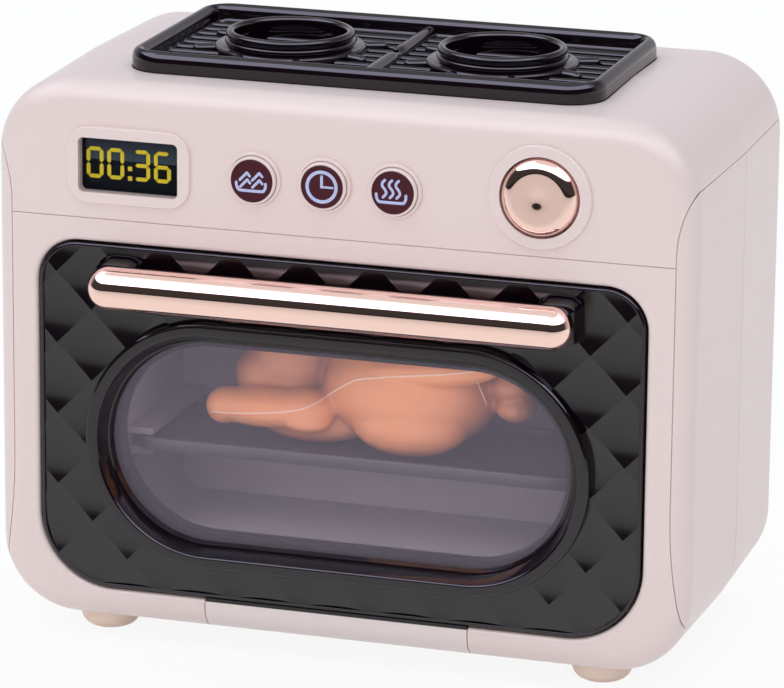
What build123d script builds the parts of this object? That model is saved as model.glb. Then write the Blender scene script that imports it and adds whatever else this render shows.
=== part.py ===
"""Toy oven: a battery-powered play oven with a drop-down door, a tray with a roast chicken,
three push buttons, a plated start button, a lit clock and a pretend two-burner hob.

Frame: +X to the right as seen from the front, +Y to the back, +Z up, millimetres.
Origin: on the surface that the feet stand on, under the middle of the overall box, handle included.
"""
from build123d import *
from math import asin, cos, sqrt
import os

os.makedirs("parts", exist_ok=True)

# ---------------------------------------------------------------- driving dimensions
# Case
case_width = 213.0          # at the crease, where the case is widest
case_height = 165.2         # at the crease
case_depth = 110.0
case_corner = 24.0          # corner radius seen from the front, at the crease
case_draft = 1.0            # degrees, both ways from the crease
crease_depth = 56.0         # from the front face to the crease
front_round = 7.5
back_round = 9.0
case_wall = 2.4
case_lift = 6.0             # from the table to the underside at the crease
seam_gap = 0.3

# Seams
fascia_height = 41.3        # from the groove under the buttons to the top of the case
side_seam_height = 20.0     # from the side seam to the top of the case
seam_inset = 6.4            # from the side of the case to the seam beside the door
bow_low_height = 57.0       # below this the seam bows outward
bow_low_radius = 160.0
bow_high_height = 133.0     # above this the seam bows outward to meet the side seam
bow_high_radius = 36.0

# Door
stile_width = 14.8          # from the side of the case to the door
rail_height = 7.7           # from the door to the groove above it
door_top_round = 12.0
door_bottom_round = 22.0
door_sill = 17.2            # height of the door's lower edge above the table
door_gap = 0.6
door_back_gap = 0.8         # behind the closed door
opening_round = 1.5
panel_thickness = 3.2
door_thickness = 10.4
door_back_inset = 1.6
door_back_edge = 1.0
door_floor_wall = 1.8
door_screw_inset = 9.0
door_screw_rise = 23.4      # from the door's upper and lower edges to its screws
door_screw_bite = 5.5
panel_edge = 1.2
hinge_inset = 2.5           # from the front face to the hinge axis
hinge_drop = 5.4            # from the door's lower edge to the hinge axis
hinge_lug_width = 80.4
hinge_lug_reach = 1.6       # how much further the lug reaches than the case's underside
lug_side_gap = 0.3
hinge_pin_radius = 1.25
hinge_pin_length = 13.0
running_gap = 0.05

# Window
window_width = 139.6
window_height = 60.6
window_rise = 47.0          # from the door's lower edge to the middle of the window
window_thickness = 1.5
window_lap = 3.2            # how far the sheet reaches behind its frame
window_lip = 1.5            # how far the rear shell covers the sheet's rim
ring_width = 7.0
ring_slope = 14.0           # degrees, the ring's inner wall
ring_edge = 1.1
ring_rise = 3.0

# Handle
handle_length = 146.0
handle_height = 13.0
handle_depth = 10.0
handle_drop = 8.8           # from the door's upper edge to the middle of the bar
handle_reach = 10.0         # from the front face to the middle of the bar
post_width = 14.0
post_height = 10.0
post_centre = 65.0
handle_edge = 4.7
handle_screw_bite = 5.0

# Cavity and tray
cavity_width = 144.0
cavity_height = 88.0
cavity_floor = 28.0
cavity_back = 70.0          # from the front face to the rear wall of the cavity
cavity_corner = 7.0
liner_wall = 1.6
tray_width = 136.0
tray_depth = 48.0
tray_rise = 3.8
tray_wall = 1.5
tray_height = 55.0          # underside of the tray above the table
tray_setback = 19.0         # from the front face to the tray's lip
ledge_width = 7.0
ledge_thickness = 2.0
ledge_setback = 2.0         # from the tray's lip to the front end of its ledges
tray_gap = 0.3
tray_corner = 3.0

# Roast chicken
chicken_length = 56.0
chicken_girth = 44.0
chicken_round = 19.0
chicken_x = 9.0
leg_reach = 61.0            # from the chicken's middle to the tip of its leg
leg_lift = 12.0
leg_radius = 5.6
wing_reach = 46.0
shell_wall = 1.8

# Hob
hob_width = 143.6
hob_depth = 77.0
hob_corner = 11.0
hob_rise = 5.4              # rim above the top of the case
hob_recess = 1.4
hob_rim = 5.0
hob_rim_round = 2.1
hob_floor = 1.6
burner_spacing = 65.4
burner_flange_radius = 22.5
burner_ring_radius = 19.6
burner_ring_wall = 3.0
burner_rise = 7.0
slat_width = 2.4
spine_width = 3.8           # the bar across the slats
slat_pitch = 6.4
slat_rise = 1.4
peg_radius = 1.7
peg_length = 9.0
peg_count = 8

# Buttons and clock
button_pitch = 21.2
button_middle_x = -4.0
button_drop = 25.6          # below the top of the case
button_radius = 7.1
button_rise = 2.4
button_edge = 0.6
button_flange = 1.2         # how far the flange reaches past the cap, and its thickness
button_play = 0.2           # all round, between a cap and its collar
button_travel = 1.6
disc_radius = 6.3
disc_thickness = 0.7
disc_edge = 0.28
collar_width = 0.9
collar_rise = 1.2
start_inset = 46.3
start_drop = 23.9
start_radius = 11.7
start_rise = 2.4
start_shoulder = 3.2
start_collar = 3.6
clock_inset = 42.9          # from the side of the case to the middle of the clock
clock_drop = 25.2
clock_width = 30.6
clock_height = 16.2
clock_round = 1.6
bezel_width = 38.0
bezel_height = 22.9
bezel_round = 7.0
lens_thickness = 1.2
lens_inset = 0.4

# Electronics and battery bay
board_inset = 18.0          # from the side of the case to the board
board_height = 26.0
board_thickness = 1.6
standoff_inset = 4.0
standoff_radius = 2.6
board_setback = 10.5        # from the front face to the board
switch_size = 6.0
switch_knob_radius = 1.7
switch_play = 1.0           # between a pressed stem and the board's switch
board_screw_bite = 4.0
stem_radius = 2.6
speaker_radius = 14.0
speaker_depth = 8.0
speaker_flange = 2.8
speaker_magnet_radius = 8.4
sound_hole_radius = 0.9
speaker_x = -52.0
speaker_height = 78.0
cell_radius = 7.1
cell_length = 50.2
cell_count = 3
cell_pitch = 15.6
bay_x = 38.0
bay_height = 78.0
bay_wall = 1.6
bay_gap = 0.6
bay_depth = 18.0
hatch_margin = 8.0
hatch_thickness = 1.4
hatch_corner = 3.0
hatch_screw_bite = 7.2
hatch_gap = 0.3

# Feet and screws
foot_radius = 9.0
foot_inset_x = 30.0         # from the side of the case
foot_inset_y = 18.0         # from the front and the back
foot_round = 4.5
foot_spigot_radius = 3.0
screw_head_radius = 2.7
screw_head_height = 1.8
screw_radius = 1.3
screw_length = 12.0
screw_head_play = 0.3
boss_wall = 2.2
boss_inset = 14.0
cross_width = 0.8

# ---------------------------------------------------------------- places worked out from the sizes
front_y = (handle_reach + handle_depth / 2 - case_depth) / 2
back_y = front_y + case_depth
case_mid_y = (front_y + back_y) / 2
crease_y = front_y + crease_depth
case_bottom = case_lift
case_top = case_lift + case_height
case_mid_z = case_lift + case_height / 2
groove_z = case_top - fascia_height
side_seam_z = case_top - side_seam_height
door_width = case_width - 2 * stile_width
door_bottom = door_sill
door_top = groove_z - rail_height
door_height = door_top - door_bottom
seam_half = case_width / 2 - seam_inset
hinge_y = front_y + hinge_inset
hinge_z = door_bottom - hinge_drop
nose_top = door_bottom - door_gap
tunnel_back = front_y + door_thickness + door_back_gap
liner_front = tunnel_back + case_wall
liner_back = front_y + cavity_back
deck_z = case_top - hob_recess
button_z = case_top - button_drop
start_z = case_top - start_drop
clock_z = case_top - clock_drop
clock_x = clock_inset - case_width / 2
start_x = case_width / 2 - start_inset
board_width = case_width - 2 * board_inset
board_front = front_y + board_setback
tray_front = front_y + tray_setback
rear_bay_front = back_y - case_wall - bay_depth


def facing(y):
    """Plane at depth y whose normal points to the front: local x is X, local y is Z."""
    return Plane(origin=(0, y, 0), x_dir=(1, 0, 0), z_dir=(0, -1, 0))


def looking_back(y):
    """Plane at depth y whose normal points to the back: local x is -X, local y is Z."""
    return Plane(origin=(0, y, 0), x_dir=(-1, 0, 0), z_dir=(0, 1, 0))


def ends_of(edges, y):
    """The edges that lie at depth y."""
    return edges.filter_by(lambda e: abs(e.center().Y - y) < 0.01 and abs(e.bounding_box().size.Y) < 0.01)


def finish(piece, label):
    """Name a finished sub-part and write it."""
    piece.part.label = label
    export_step(piece.part, f"parts/{label}.step")


# ---------------------------------------------------------------- the case as one form
def case_form(inset):
    """The case's outline, drafted both ways from the crease, inset on every side."""
    size = (case_width - 2 * inset, case_height - 2 * inset)
    corner = case_corner - inset
    with BuildPart() as form:
        for plane, amount in (
            (facing(crease_y), crease_y - front_y - inset),
            (looking_back(crease_y), back_y - crease_y - inset),
        ):
            with BuildSketch(plane):
                with Locations((0, case_mid_z)):
                    RectangleRounded(*size, corner)
            extrude(amount=amount, taper=case_draft)
        fillet(ends_of(form.edges(), front_y + inset), max(front_round - inset, 1))
        fillet(ends_of(form.edges(), back_y - inset), max(back_round - inset, 1))
    return form.part


case_outside = case_form(0)
case_inside = case_form(case_wall)

with BuildPart() as skin:
    add(case_outside)
    add(case_inside, mode=Mode.SUBTRACT)


def front_outline(gap):
    """Sketch of all that lies between the seams beside the door, inset by the gap."""
    half = seam_half - gap
    top = side_seam_z + gap
    low = (half + bow_low_radius * (1 - cos(asin(bow_low_height / bow_low_radius))), 0)
    low_middle = arc_point(half, bow_low_height, bow_low_radius, bow_low_height / 2)
    high_middle = arc_point(half, bow_high_height, bow_high_radius, (top + bow_high_height) / 2)
    high = arc_point(half, bow_high_height, bow_high_radius, top)
    with BuildSketch() as outline:
        with BuildLine():
            Line((0, 0), low)
            ThreePointArc(low, low_middle, (half, bow_low_height))
            Line((half, bow_low_height), (half, bow_high_height))
            ThreePointArc((half, bow_high_height), high_middle, high)
            Line(high, (0, top))
            mirror(about=Plane.YZ)
        make_face()
    return outline.sketch


def arc_point(half, start, radius, height):
    """Where the seam, which bows outward from a start height, is at a given height."""
    return (half + radius - sqrt(radius**2 - (height - start) ** 2), height)


def fascia_region(gap):
    """All that is above the seams: the fascia in front, the lid behind it."""
    with BuildPart() as region:
        with BuildSketch(facing(front_y + 3 * front_round)):
            add(front_outline(gap))
            with Locations((0, groove_z + gap)):
                Rectangle(2 * case_width, case_height, align=(Align.CENTER, Align.MIN), mode=Mode.INTERSECT)
        extrude(amount=case_depth)
        with Locations((0, front_y - case_depth / 2, side_seam_z + gap)):
            Box(2 * case_width, 2 * case_depth, case_height, align=(Align.CENTER, Align.MIN, Align.MIN))
    return region.part


# ---------------------------------------------------------------- top shell with the fascia
standoff_places = [
    (x * (board_width / 2 - standoff_inset), button_z + z * (board_height / 2 - standoff_inset))
    for x in (-1, 1)
    for z in (-1, 1)
]
button_xs = [button_middle_x + i * button_pitch for i in (-1, 0, 1)]
collar_radius = button_radius + button_play + collar_width
hob_plane = Plane((0, case_mid_y, deck_z))

with BuildPart() as top_shell:
    add(skin.part)
    add(fascia_region(seam_gap / 2), mode=Mode.INTERSECT)
    with BuildSketch(facing(front_y + case_wall)):
        with Locations((clock_x, clock_z)):
            RectangleRounded(bezel_width, bezel_height, bezel_round)
        with Locations(*[(x, button_z) for x in button_xs]):
            Circle(collar_radius)
        with Locations((start_x, start_z)):
            Circle(start_radius + start_collar)
    extrude(amount=case_wall + collar_rise)
    fillet(ends_of(top_shell.edges(), front_y - collar_rise), collar_width * 0.6)
    with BuildSketch(facing(front_y + case_wall)):
        with Locations((clock_x, clock_z)):
            RectangleRounded(clock_width, clock_height, clock_round)
        with Locations(*[(x, button_z) for x in button_xs]):
            Circle(button_radius + button_play)
        with Locations((start_x, start_z)):
            Circle(start_radius + button_play)
    extrude(amount=case_wall + 2 * collar_rise, mode=Mode.SUBTRACT)
    with BuildSketch(hob_plane):
        RectangleRounded(hob_width + seam_gap, hob_depth + seam_gap, hob_corner)
    extrude(amount=hob_recess * 2, mode=Mode.SUBTRACT)
    with BuildSketch(hob_plane.offset(-case_wall)):
        RectangleRounded(hob_width + 4 * case_wall, hob_depth + 2 * case_wall, hob_corner)
    extrude(amount=case_wall)
    with BuildSketch(facing(board_front)):
        with Locations(*standoff_places):
            Circle(standoff_radius)
    extrude(amount=board_setback - case_wall)
    with BuildSketch(facing(board_front)):
        with Locations(*standoff_places):
            Circle(screw_radius)
    extrude(amount=board_setback - 2 * case_wall, mode=Mode.SUBTRACT)
finish(top_shell, "top_shell")


# ---------------------------------------------------------------- door outline
def door_outline(grow):
    """Sketch of the door seen from the front, grown or (negative) inset on every side."""
    with BuildSketch() as outline:
        with Locations((0, door_bottom + door_height / 2)):
            Rectangle(door_width + 2 * grow, door_height + 2 * grow)
        fillet(outline.vertices().group_by(Axis.Y)[-1], door_top_round + grow)
        fillet(outline.vertices().group_by(Axis.Y)[0], door_bottom_round + grow)
    return outline.sketch


def hinge_cylinder(radius, x_from, x_to):
    """A cylinder about the hinge axis between two places along X."""
    with BuildPart() as barrel:
        with BuildSketch(Plane(origin=(x_from, 0, 0), x_dir=(0, 1, 0), z_dir=(1, 0, 0))):
            with Locations((hinge_y, hinge_z)):
                Circle(radius)
        extrude(amount=x_to - x_from)
    return barrel.part


lug_half = hinge_lug_width / 2
lug_radius = hinge_z - case_bottom + hinge_lug_reach
ear_half = lug_half + hinge_pin_length / 2 + 3

# ---------------------------------------------------------------- front frame
with BuildPart() as frame_block:
    with BuildSketch(facing(liner_front)):
        add(front_outline(seam_gap / 2))
        with Locations((0, groove_z - seam_gap / 2)):
            Rectangle(2 * case_width, 2 * case_height, align=(Align.CENTER, Align.MAX), mode=Mode.INTERSECT)
    extrude(amount=liner_front - front_y + case_wall)
    add(case_outside, mode=Mode.INTERSECT)

with BuildPart() as frame_hollow:
    with BuildSketch(facing(tunnel_back)):
        with Locations((0, groove_z - case_wall)):
            Rectangle(2 * (seam_half - case_wall), case_height, align=(Align.CENTER, Align.MAX))
        add(door_outline(door_gap + case_wall), mode=Mode.SUBTRACT)
        with Locations((0, case_bottom)):
            Rectangle(
                2 * ear_half, door_sill - case_bottom, align=(Align.CENTER, Align.MIN), mode=Mode.SUBTRACT
            )
    extrude(amount=door_thickness - case_wall)
    add(case_inside, mode=Mode.INTERSECT)

with BuildPart() as front_frame:
    add(frame_block.part)
    add(frame_hollow.part, mode=Mode.SUBTRACT)
    with BuildSketch(facing(tunnel_back)):
        add(door_outline(door_gap))
    extrude(amount=case_depth, mode=Mode.SUBTRACT)
    fillet(
        ends_of(front_frame.edges(), front_y).filter_by(
            lambda e: abs(e.center().X) < door_width / 2 + 2 * door_gap
            and nose_top - 1 < e.center().Z < door_bottom + door_height + 2 * door_gap
        ),
        opening_round,
    )
    with BuildSketch(facing(liner_front)):
        with Locations((0, cavity_floor + cavity_height / 2)):
            RectangleRounded(cavity_width, cavity_height, cavity_corner)
    extrude(amount=case_depth, mode=Mode.SUBTRACT)
    add(
        hinge_cylinder(lug_radius + door_gap, -lug_half - lug_side_gap, lug_half + lug_side_gap),
        mode=Mode.SUBTRACT,
    )
    for side in (-1, 1):
        ends = sorted((side * (lug_half + lug_side_gap), side * (lug_half + hinge_pin_length / 2)))
        add(hinge_cylinder(hinge_pin_radius, *ends), mode=Mode.SUBTRACT)
finish(front_frame, "front_frame")

# ---------------------------------------------------------------- body shell and rear cover
boss_x = case_width / 2 - boss_inset
boss_low_z = case_bottom + 1.5 * boss_inset
boss_high_z = side_seam_z - boss_inset
boss_places = [(x, z) for x in (-boss_x, boss_x) for z in (boss_low_z, boss_high_z)]
boss_radius = screw_head_radius + screw_head_play + boss_wall
post_radius = screw_radius + boss_wall
post_depth = screw_length + 2

with BuildPart() as body_posts:
    with BuildSketch(facing(crease_y - seam_gap / 2)):
        with Locations(*boss_places):
            Circle(post_radius)
        for x, z in boss_places:
            with Locations(((x + (case_width / 2 if x > 0 else -case_width / 2)) / 2, z)):
                Rectangle(boss_inset, case_wall)
    extrude(amount=post_depth)
    with BuildSketch(facing(crease_y)):
        with Locations(*boss_places):
            Circle(screw_radius)
    extrude(amount=screw_length, mode=Mode.SUBTRACT)
    add(case_outside, mode=Mode.INTERSECT)

with BuildPart() as frame_room:
    with BuildSketch(facing(liner_front + seam_gap)):
        add(front_outline(-seam_gap / 2))
    extrude(amount=case_depth)

foot_places = [
    (x * (case_width / 2 - foot_inset_x), y)
    for x in (-1, 1)
    for y in (front_y + foot_inset_y, back_y - foot_inset_y)
]

with BuildPart() as body_shell:
    add(skin.part)
    add(fascia_region(-seam_gap / 2), mode=Mode.SUBTRACT)
    add(frame_room.part, mode=Mode.SUBTRACT)
    split(bisect_by=Plane.XZ.offset(seam_gap / 2 - crease_y), keep=Keep.TOP)
    add(body_posts.part)
    with Locations(*[(x, y, case_bottom) for x, y in foot_places if y < crease_y]):
        Cylinder(foot_spigot_radius + running_gap, 4 * case_wall, mode=Mode.SUBTRACT)
finish(body_shell, "body_shell")

bay_width = cell_length + 2 * bay_gap + 2 * bay_wall
bay_tall = cell_count * cell_pitch + 2 * bay_wall
hatch_width = bay_width + 2 * hatch_margin
hatch_tall = bay_tall + 2 * hatch_margin
hatch_screw_z = bay_height + hatch_tall / 2 - hatch_margin / 2
hatch_boss_depth = screw_length

with BuildPart() as rear_bosses:
    with BuildSketch(looking_back(crease_y + seam_gap / 2)):
        with Locations(*[(-x, z) for x, z in boss_places]):
            Circle(boss_radius)
    extrude(amount=case_depth)
    add(case_outside, mode=Mode.INTERSECT)

with BuildPart() as rear_cover:
    add(skin.part)
    split(bisect_by=Plane.XZ.offset(-seam_gap / 2 - crease_y), keep=Keep.BOTTOM)
    split(bisect_by=Plane.XY.offset(side_seam_z - seam_gap / 2), keep=Keep.BOTTOM)
    add(rear_bosses.part)
    with BuildSketch(looking_back(back_y - hatch_boss_depth)):
        with Locations((-bay_x, hatch_screw_z)):
            Circle(post_radius)
    extrude(amount=hatch_boss_depth - hatch_thickness)
    with BuildSketch(looking_back(back_y - hatch_boss_depth)):
        with Locations((-bay_x, hatch_screw_z)):
            Circle(screw_radius)
    extrude(amount=hatch_boss_depth, mode=Mode.SUBTRACT)
    with BuildSketch(looking_back(crease_y)):
        with Locations(*[(-x, z) for x, z in boss_places]):
            Circle(screw_radius + running_gap)
    extrude(amount=case_depth, mode=Mode.SUBTRACT)
    with BuildSketch(looking_back(crease_y + 2 * case_wall)):
        with Locations(*[(-x, z) for x, z in boss_places]):
            Circle(screw_head_radius + screw_head_play)
    extrude(amount=case_depth, mode=Mode.SUBTRACT)
    with BuildSketch(looking_back(back_y - case_wall)):
        with Locations((-bay_x, bay_height)):
            Rectangle(bay_width - 2 * bay_wall, bay_tall - 2 * bay_wall)
        with Locations((-speaker_x, speaker_height)):
            with PolarLocations(speaker_radius * 0.7, 12):
                Circle(sound_hole_radius)
            with PolarLocations(speaker_radius * 0.35, 6):
                Circle(sound_hole_radius)
            Circle(sound_hole_radius)
    extrude(amount=2 * case_wall, mode=Mode.SUBTRACT)
    with BuildSketch(looking_back(back_y - hatch_thickness)):
        with Locations((-bay_x, bay_height)):
            RectangleRounded(hatch_width, hatch_tall, hatch_corner)
    extrude(amount=2 * case_wall, mode=Mode.SUBTRACT)
    with Locations(*[(x, y, case_bottom) for x, y in foot_places if y > crease_y]):
        Cylinder(foot_spigot_radius + running_gap, 4 * case_wall, mode=Mode.SUBTRACT)
finish(rear_cover, "rear_cover")


# ---------------------------------------------------------------- feet
foot_top = case_bottom + case_wall

with BuildPart() as foot:
    Cylinder(foot_radius, foot_top, align=(Align.CENTER, Align.CENTER, Align.MIN))
    fillet(foot.edges().sort_by(Axis.Z)[0], foot_round)
    Cylinder(foot_spigot_radius, foot_top + case_wall, align=(Align.CENTER, Align.CENTER, Align.MIN))

foot_names = ["foot_front_left", "foot_rear_left", "foot_front_right", "foot_rear_right"]
for label, (x, y) in zip(foot_names, foot_places):
    with BuildPart() as placed_foot:
        add(Pos(x, y, 0) * foot.part)
        add(case_outside, mode=Mode.SUBTRACT)
        with Locations((x, y, foot_top - case_wall)):
            Cylinder(foot_spigot_radius, 2 * case_wall, align=(Align.CENTER, Align.CENTER, Align.MIN))
    finish(placed_foot, label)

# ---------------------------------------------------------------- cavity liner with the tray's ledges
cavity_mid_z = cavity_floor + cavity_height / 2
ledge_top = tray_height - running_gap
rail_bottom = tray_height + tray_rise + tray_gap



def cavity_box(back, front, grow):
    """The oven space between two depths, grown on every side."""
    with BuildPart() as block:
        with BuildSketch(facing(back)):
            with Locations((0, cavity_mid_z)):
                RectangleRounded(cavity_width + 2 * grow, cavity_height + 2 * grow, cavity_corner + grow)
        extrude(amount=back - front)
    return block.part


with BuildPart() as cavity_liner:
    add(cavity_box(liner_back + liner_wall, liner_front, liner_wall))
    add(cavity_box(liner_front + liner_wall, liner_front, 2 * liner_wall))
    add(cavity_box(liner_back, liner_front - liner_wall, 0), mode=Mode.SUBTRACT)
    for height, side_up in ((ledge_top, Align.MAX), (rail_bottom, Align.MIN)):
        for side in (-1, 1):
            with Locations((side * (cavity_width - ledge_width) / 2, liner_back, height)):
                Box(
                    ledge_width + liner_wall,
                    liner_back - tray_front - ledge_setback,
                    ledge_thickness,
                    align=(Align.CENTER, Align.MAX, side_up),
                )
finish(cavity_liner, "cavity_liner")

# ---------------------------------------------------------------- tray
tray_mid_y = tray_front + tray_depth / 2

with BuildPart() as tray:
    with BuildSketch(Plane((0, tray_mid_y, tray_height))):
        RectangleRounded(tray_width, tray_depth, tray_corner)
    extrude(amount=tray_rise)
    with BuildSketch(Plane((0, tray_mid_y, tray_height + tray_wall))):
        RectangleRounded(tray_width - 2 * tray_wall, tray_depth - 2 * tray_wall, tray_corner - tray_wall)
    extrude(amount=tray_rise, mode=Mode.SUBTRACT)
    fillet(tray.edges().filter_by(Plane.XY).group_by(Axis.Z)[-1], tray_wall / 2 - 0.1)
finish(tray, "tray")

# ---------------------------------------------------------------- roast chicken, in two hollow shells
chicken_base = tray_height + tray_wall + tray_gap / 3
parting_z = chicken_base + chicken_girth / 2


def barrel(length, girth, roundness):
    """A round-ended barrel that lies along X, about the origin."""
    with BuildPart() as solid:
        Cylinder(girth / 2, length, rotation=(0, 90, 0))
        fillet(solid.edges().filter_by(GeomType.CIRCLE), roundness)
    return solid.part


def drumstick(reach, radius):
    """A leg along -X from the origin: thick at the thigh, thinner at its rounded end."""
    with BuildPart() as leg:
        Cone(
            1.5 * radius, radius, reach, rotation=(0, -90, 0), align=(Align.CENTER, Align.CENTER, Align.MIN)
        )
        fillet(leg.edges().filter_by(GeomType.CIRCLE).sort_by(Axis.X)[0], 0.8 * radius)
    return leg.part


body_middle = Pos(chicken_x, tray_mid_y, chicken_base + chicken_girth / 2)

with BuildPart() as chicken:
    add(body_middle * barrel(chicken_length, chicken_girth, chicken_round))
    for side in (-1, 1):
        limb_root = Pos(chicken_x, tray_mid_y + side * chicken_girth / 4, chicken_base + leg_lift)
        add(limb_root * drumstick(leg_reach, leg_radius))
        add(limb_root * Rot(0, 0, 180) * drumstick(wing_reach, leg_radius))

chicken_core = body_middle * barrel(
    chicken_length - 2 * shell_wall, chicken_girth - 2 * shell_wall, chicken_round - shell_wall
)

for label, keep in (("chicken_upper_shell", Keep.TOP), ("chicken_lower_shell", Keep.BOTTOM)):
    with BuildPart() as chicken_shell:
        add(chicken.part)
        add(chicken_core, mode=Mode.SUBTRACT)
        split(bisect_by=Plane.XY.offset(parting_z), keep=keep)
    finish(chicken_shell, label)

# ---------------------------------------------------------------- hob
hob_top = case_top + hob_rise
slat_top = deck_z + hob_floor + slat_rise
ring_places = [(-burner_spacing / 2, 0), (burner_spacing / 2, 0)]
inner_width = hob_width - 2 * hob_rim
inner_depth = hob_depth - 2 * hob_rim
slat_count = int(inner_depth / slat_pitch)

with BuildPart() as peg:
    Cylinder(peg_radius, peg_length, rotation=(0, 90, 0), align=(Align.CENTER, Align.CENTER, Align.MIN))

with BuildPart() as hob:
    with BuildSketch(hob_plane):
        RectangleRounded(hob_width, hob_depth, hob_corner)
    extrude(amount=hob_top - deck_z)
    fillet(hob.edges().group_by(Axis.Z)[-1], hob_rim_round)
    with BuildSketch(hob_plane.offset(hob_floor)):
        RectangleRounded(inner_width, inner_depth, hob_corner - hob_rim + 2)
    extrude(amount=case_height, mode=Mode.SUBTRACT)
    with BuildSketch(hob_plane.offset(hob_floor)):
        with GridLocations(0, slat_pitch, 1, slat_count):
            Rectangle(inner_width, slat_width)
        Rectangle(spine_width, inner_depth)
    extrude(amount=slat_rise)
    with BuildSketch(hob_plane.offset(slat_top - deck_z)):
        Rectangle(spine_width, inner_depth)
    extrude(amount=slat_rise)
    with BuildSketch(hob_plane.offset(hob_floor)):
        with Locations(*ring_places):
            Circle(burner_flange_radius)
    extrude(amount=2 * slat_rise)
    with BuildSketch(hob_plane.offset(hob_floor)):
        with Locations(*ring_places):
            Circle(burner_ring_radius)
    extrude(amount=case_top + burner_rise - deck_z - hob_floor)
    with BuildSketch(hob_plane.offset(hob_floor)):
        with Locations(*ring_places):
            Circle(burner_ring_radius - burner_ring_wall)
    extrude(amount=case_height, mode=Mode.SUBTRACT)
    for x, y in ring_places:
        for turn in range(peg_count):
            heading = Rot(0, 0, (turn + 0.5) * 360 / peg_count)
            reach = Pos(burner_flange_radius - peg_radius, 0, 0)
            add(Pos(x, case_mid_y + y, slat_top) * heading * reach * peg.part)
finish(hob, "hob_plate")


# ---------------------------------------------------------------- door
window_z = door_bottom + window_rise
handle_y = front_y - handle_reach
handle_z = door_top - handle_drop
post_xs = [-post_centre, post_centre]
door_screw_places = [
    (x * (door_width / 2 - door_screw_inset), z)
    for x in (-1, 1)
    for z in (door_top - door_screw_rise, door_bottom + door_screw_rise)
]


def window_slot(plane, grow, amount, **options):
    """Extrude the window's stadium shape, grown on every side, from a plane."""
    with BuildPart() as slot:
        with BuildSketch(plane):
            with Locations((0, window_z)):
                SlotOverall(window_width + 2 * grow, window_height + 2 * grow)
        extrude(amount=amount, **options)
    return slot.part


with BuildPart() as handle_bar:
    with BuildSketch(facing(handle_y + handle_depth / 2)):
        with Locations((0, handle_z)):
            SlotOverall(handle_length, handle_height)
    extrude(amount=handle_depth)
    fillet(ends_of(handle_bar.edges(), handle_y + handle_depth / 2), handle_edge)
    fillet(ends_of(handle_bar.edges(), handle_y - handle_depth / 2), handle_edge)
    with BuildSketch(facing(handle_y + handle_depth / 2)):
        with Locations(*[(x, handle_z) for x in post_xs]):
            Circle(screw_radius)
    extrude(amount=handle_screw_bite + 2 * screw_radius, mode=Mode.SUBTRACT)
finish(handle_bar, "handle_bar")

panel_back = front_y + panel_thickness
back_front = panel_back + running_gap

with BuildPart() as door_panel:
    with BuildSketch(facing(panel_back)):
        add(door_outline(0))
    extrude(amount=panel_thickness)
    fillet(ends_of(door_panel.edges(), front_y), panel_edge)
    add(window_slot(facing(panel_back), ring_width, panel_thickness + ring_rise))
    fillet(ends_of(door_panel.edges(), front_y - ring_rise), ring_edge)
    with BuildSketch(facing(panel_back)):
        with Locations(*[(x, handle_z) for x in post_xs]):
            SlotOverall(post_width, post_height)
    extrude(amount=panel_thickness + handle_reach)
    add(handle_bar.part, mode=Mode.SUBTRACT)
    with BuildSketch(facing(panel_back)):
        with Locations(*[(x, handle_z) for x in post_xs]):
            Circle(screw_radius + running_gap)
    extrude(amount=2 * handle_reach, mode=Mode.SUBTRACT)
    add(
        window_slot(facing(panel_back), 0, panel_thickness + 2 * ring_rise, taper=-ring_slope),
        mode=Mode.SUBTRACT,
    )
    with BuildSketch(facing(front_y + door_thickness - door_floor_wall - running_gap)):
        with Locations(*door_screw_places):
            Circle(post_radius)
    extrude(amount=door_thickness - door_floor_wall - panel_thickness)
    with BuildSketch(facing(front_y + door_thickness)):
        with Locations(*door_screw_places):
            Circle(screw_radius)
    extrude(amount=door_thickness - panel_thickness / 2, mode=Mode.SUBTRACT)
finish(door_panel, "door_panel")

with BuildPart() as door_window:
    add(window_slot(facing(back_front + running_gap + window_thickness), window_lap, window_thickness))
finish(door_window, "door_window")

with BuildPart() as hinge_lug:
    add(hinge_cylinder(lug_radius, -lug_half, lug_half))
    add(case_outside, mode=Mode.INTERSECT)
    with Locations((0, back_front, door_bottom)):
        Box(
            case_width,
            case_depth,
            case_height,
            align=(Align.CENTER, Align.MAX, Align.MIN),
            mode=Mode.SUBTRACT,
        )

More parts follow.
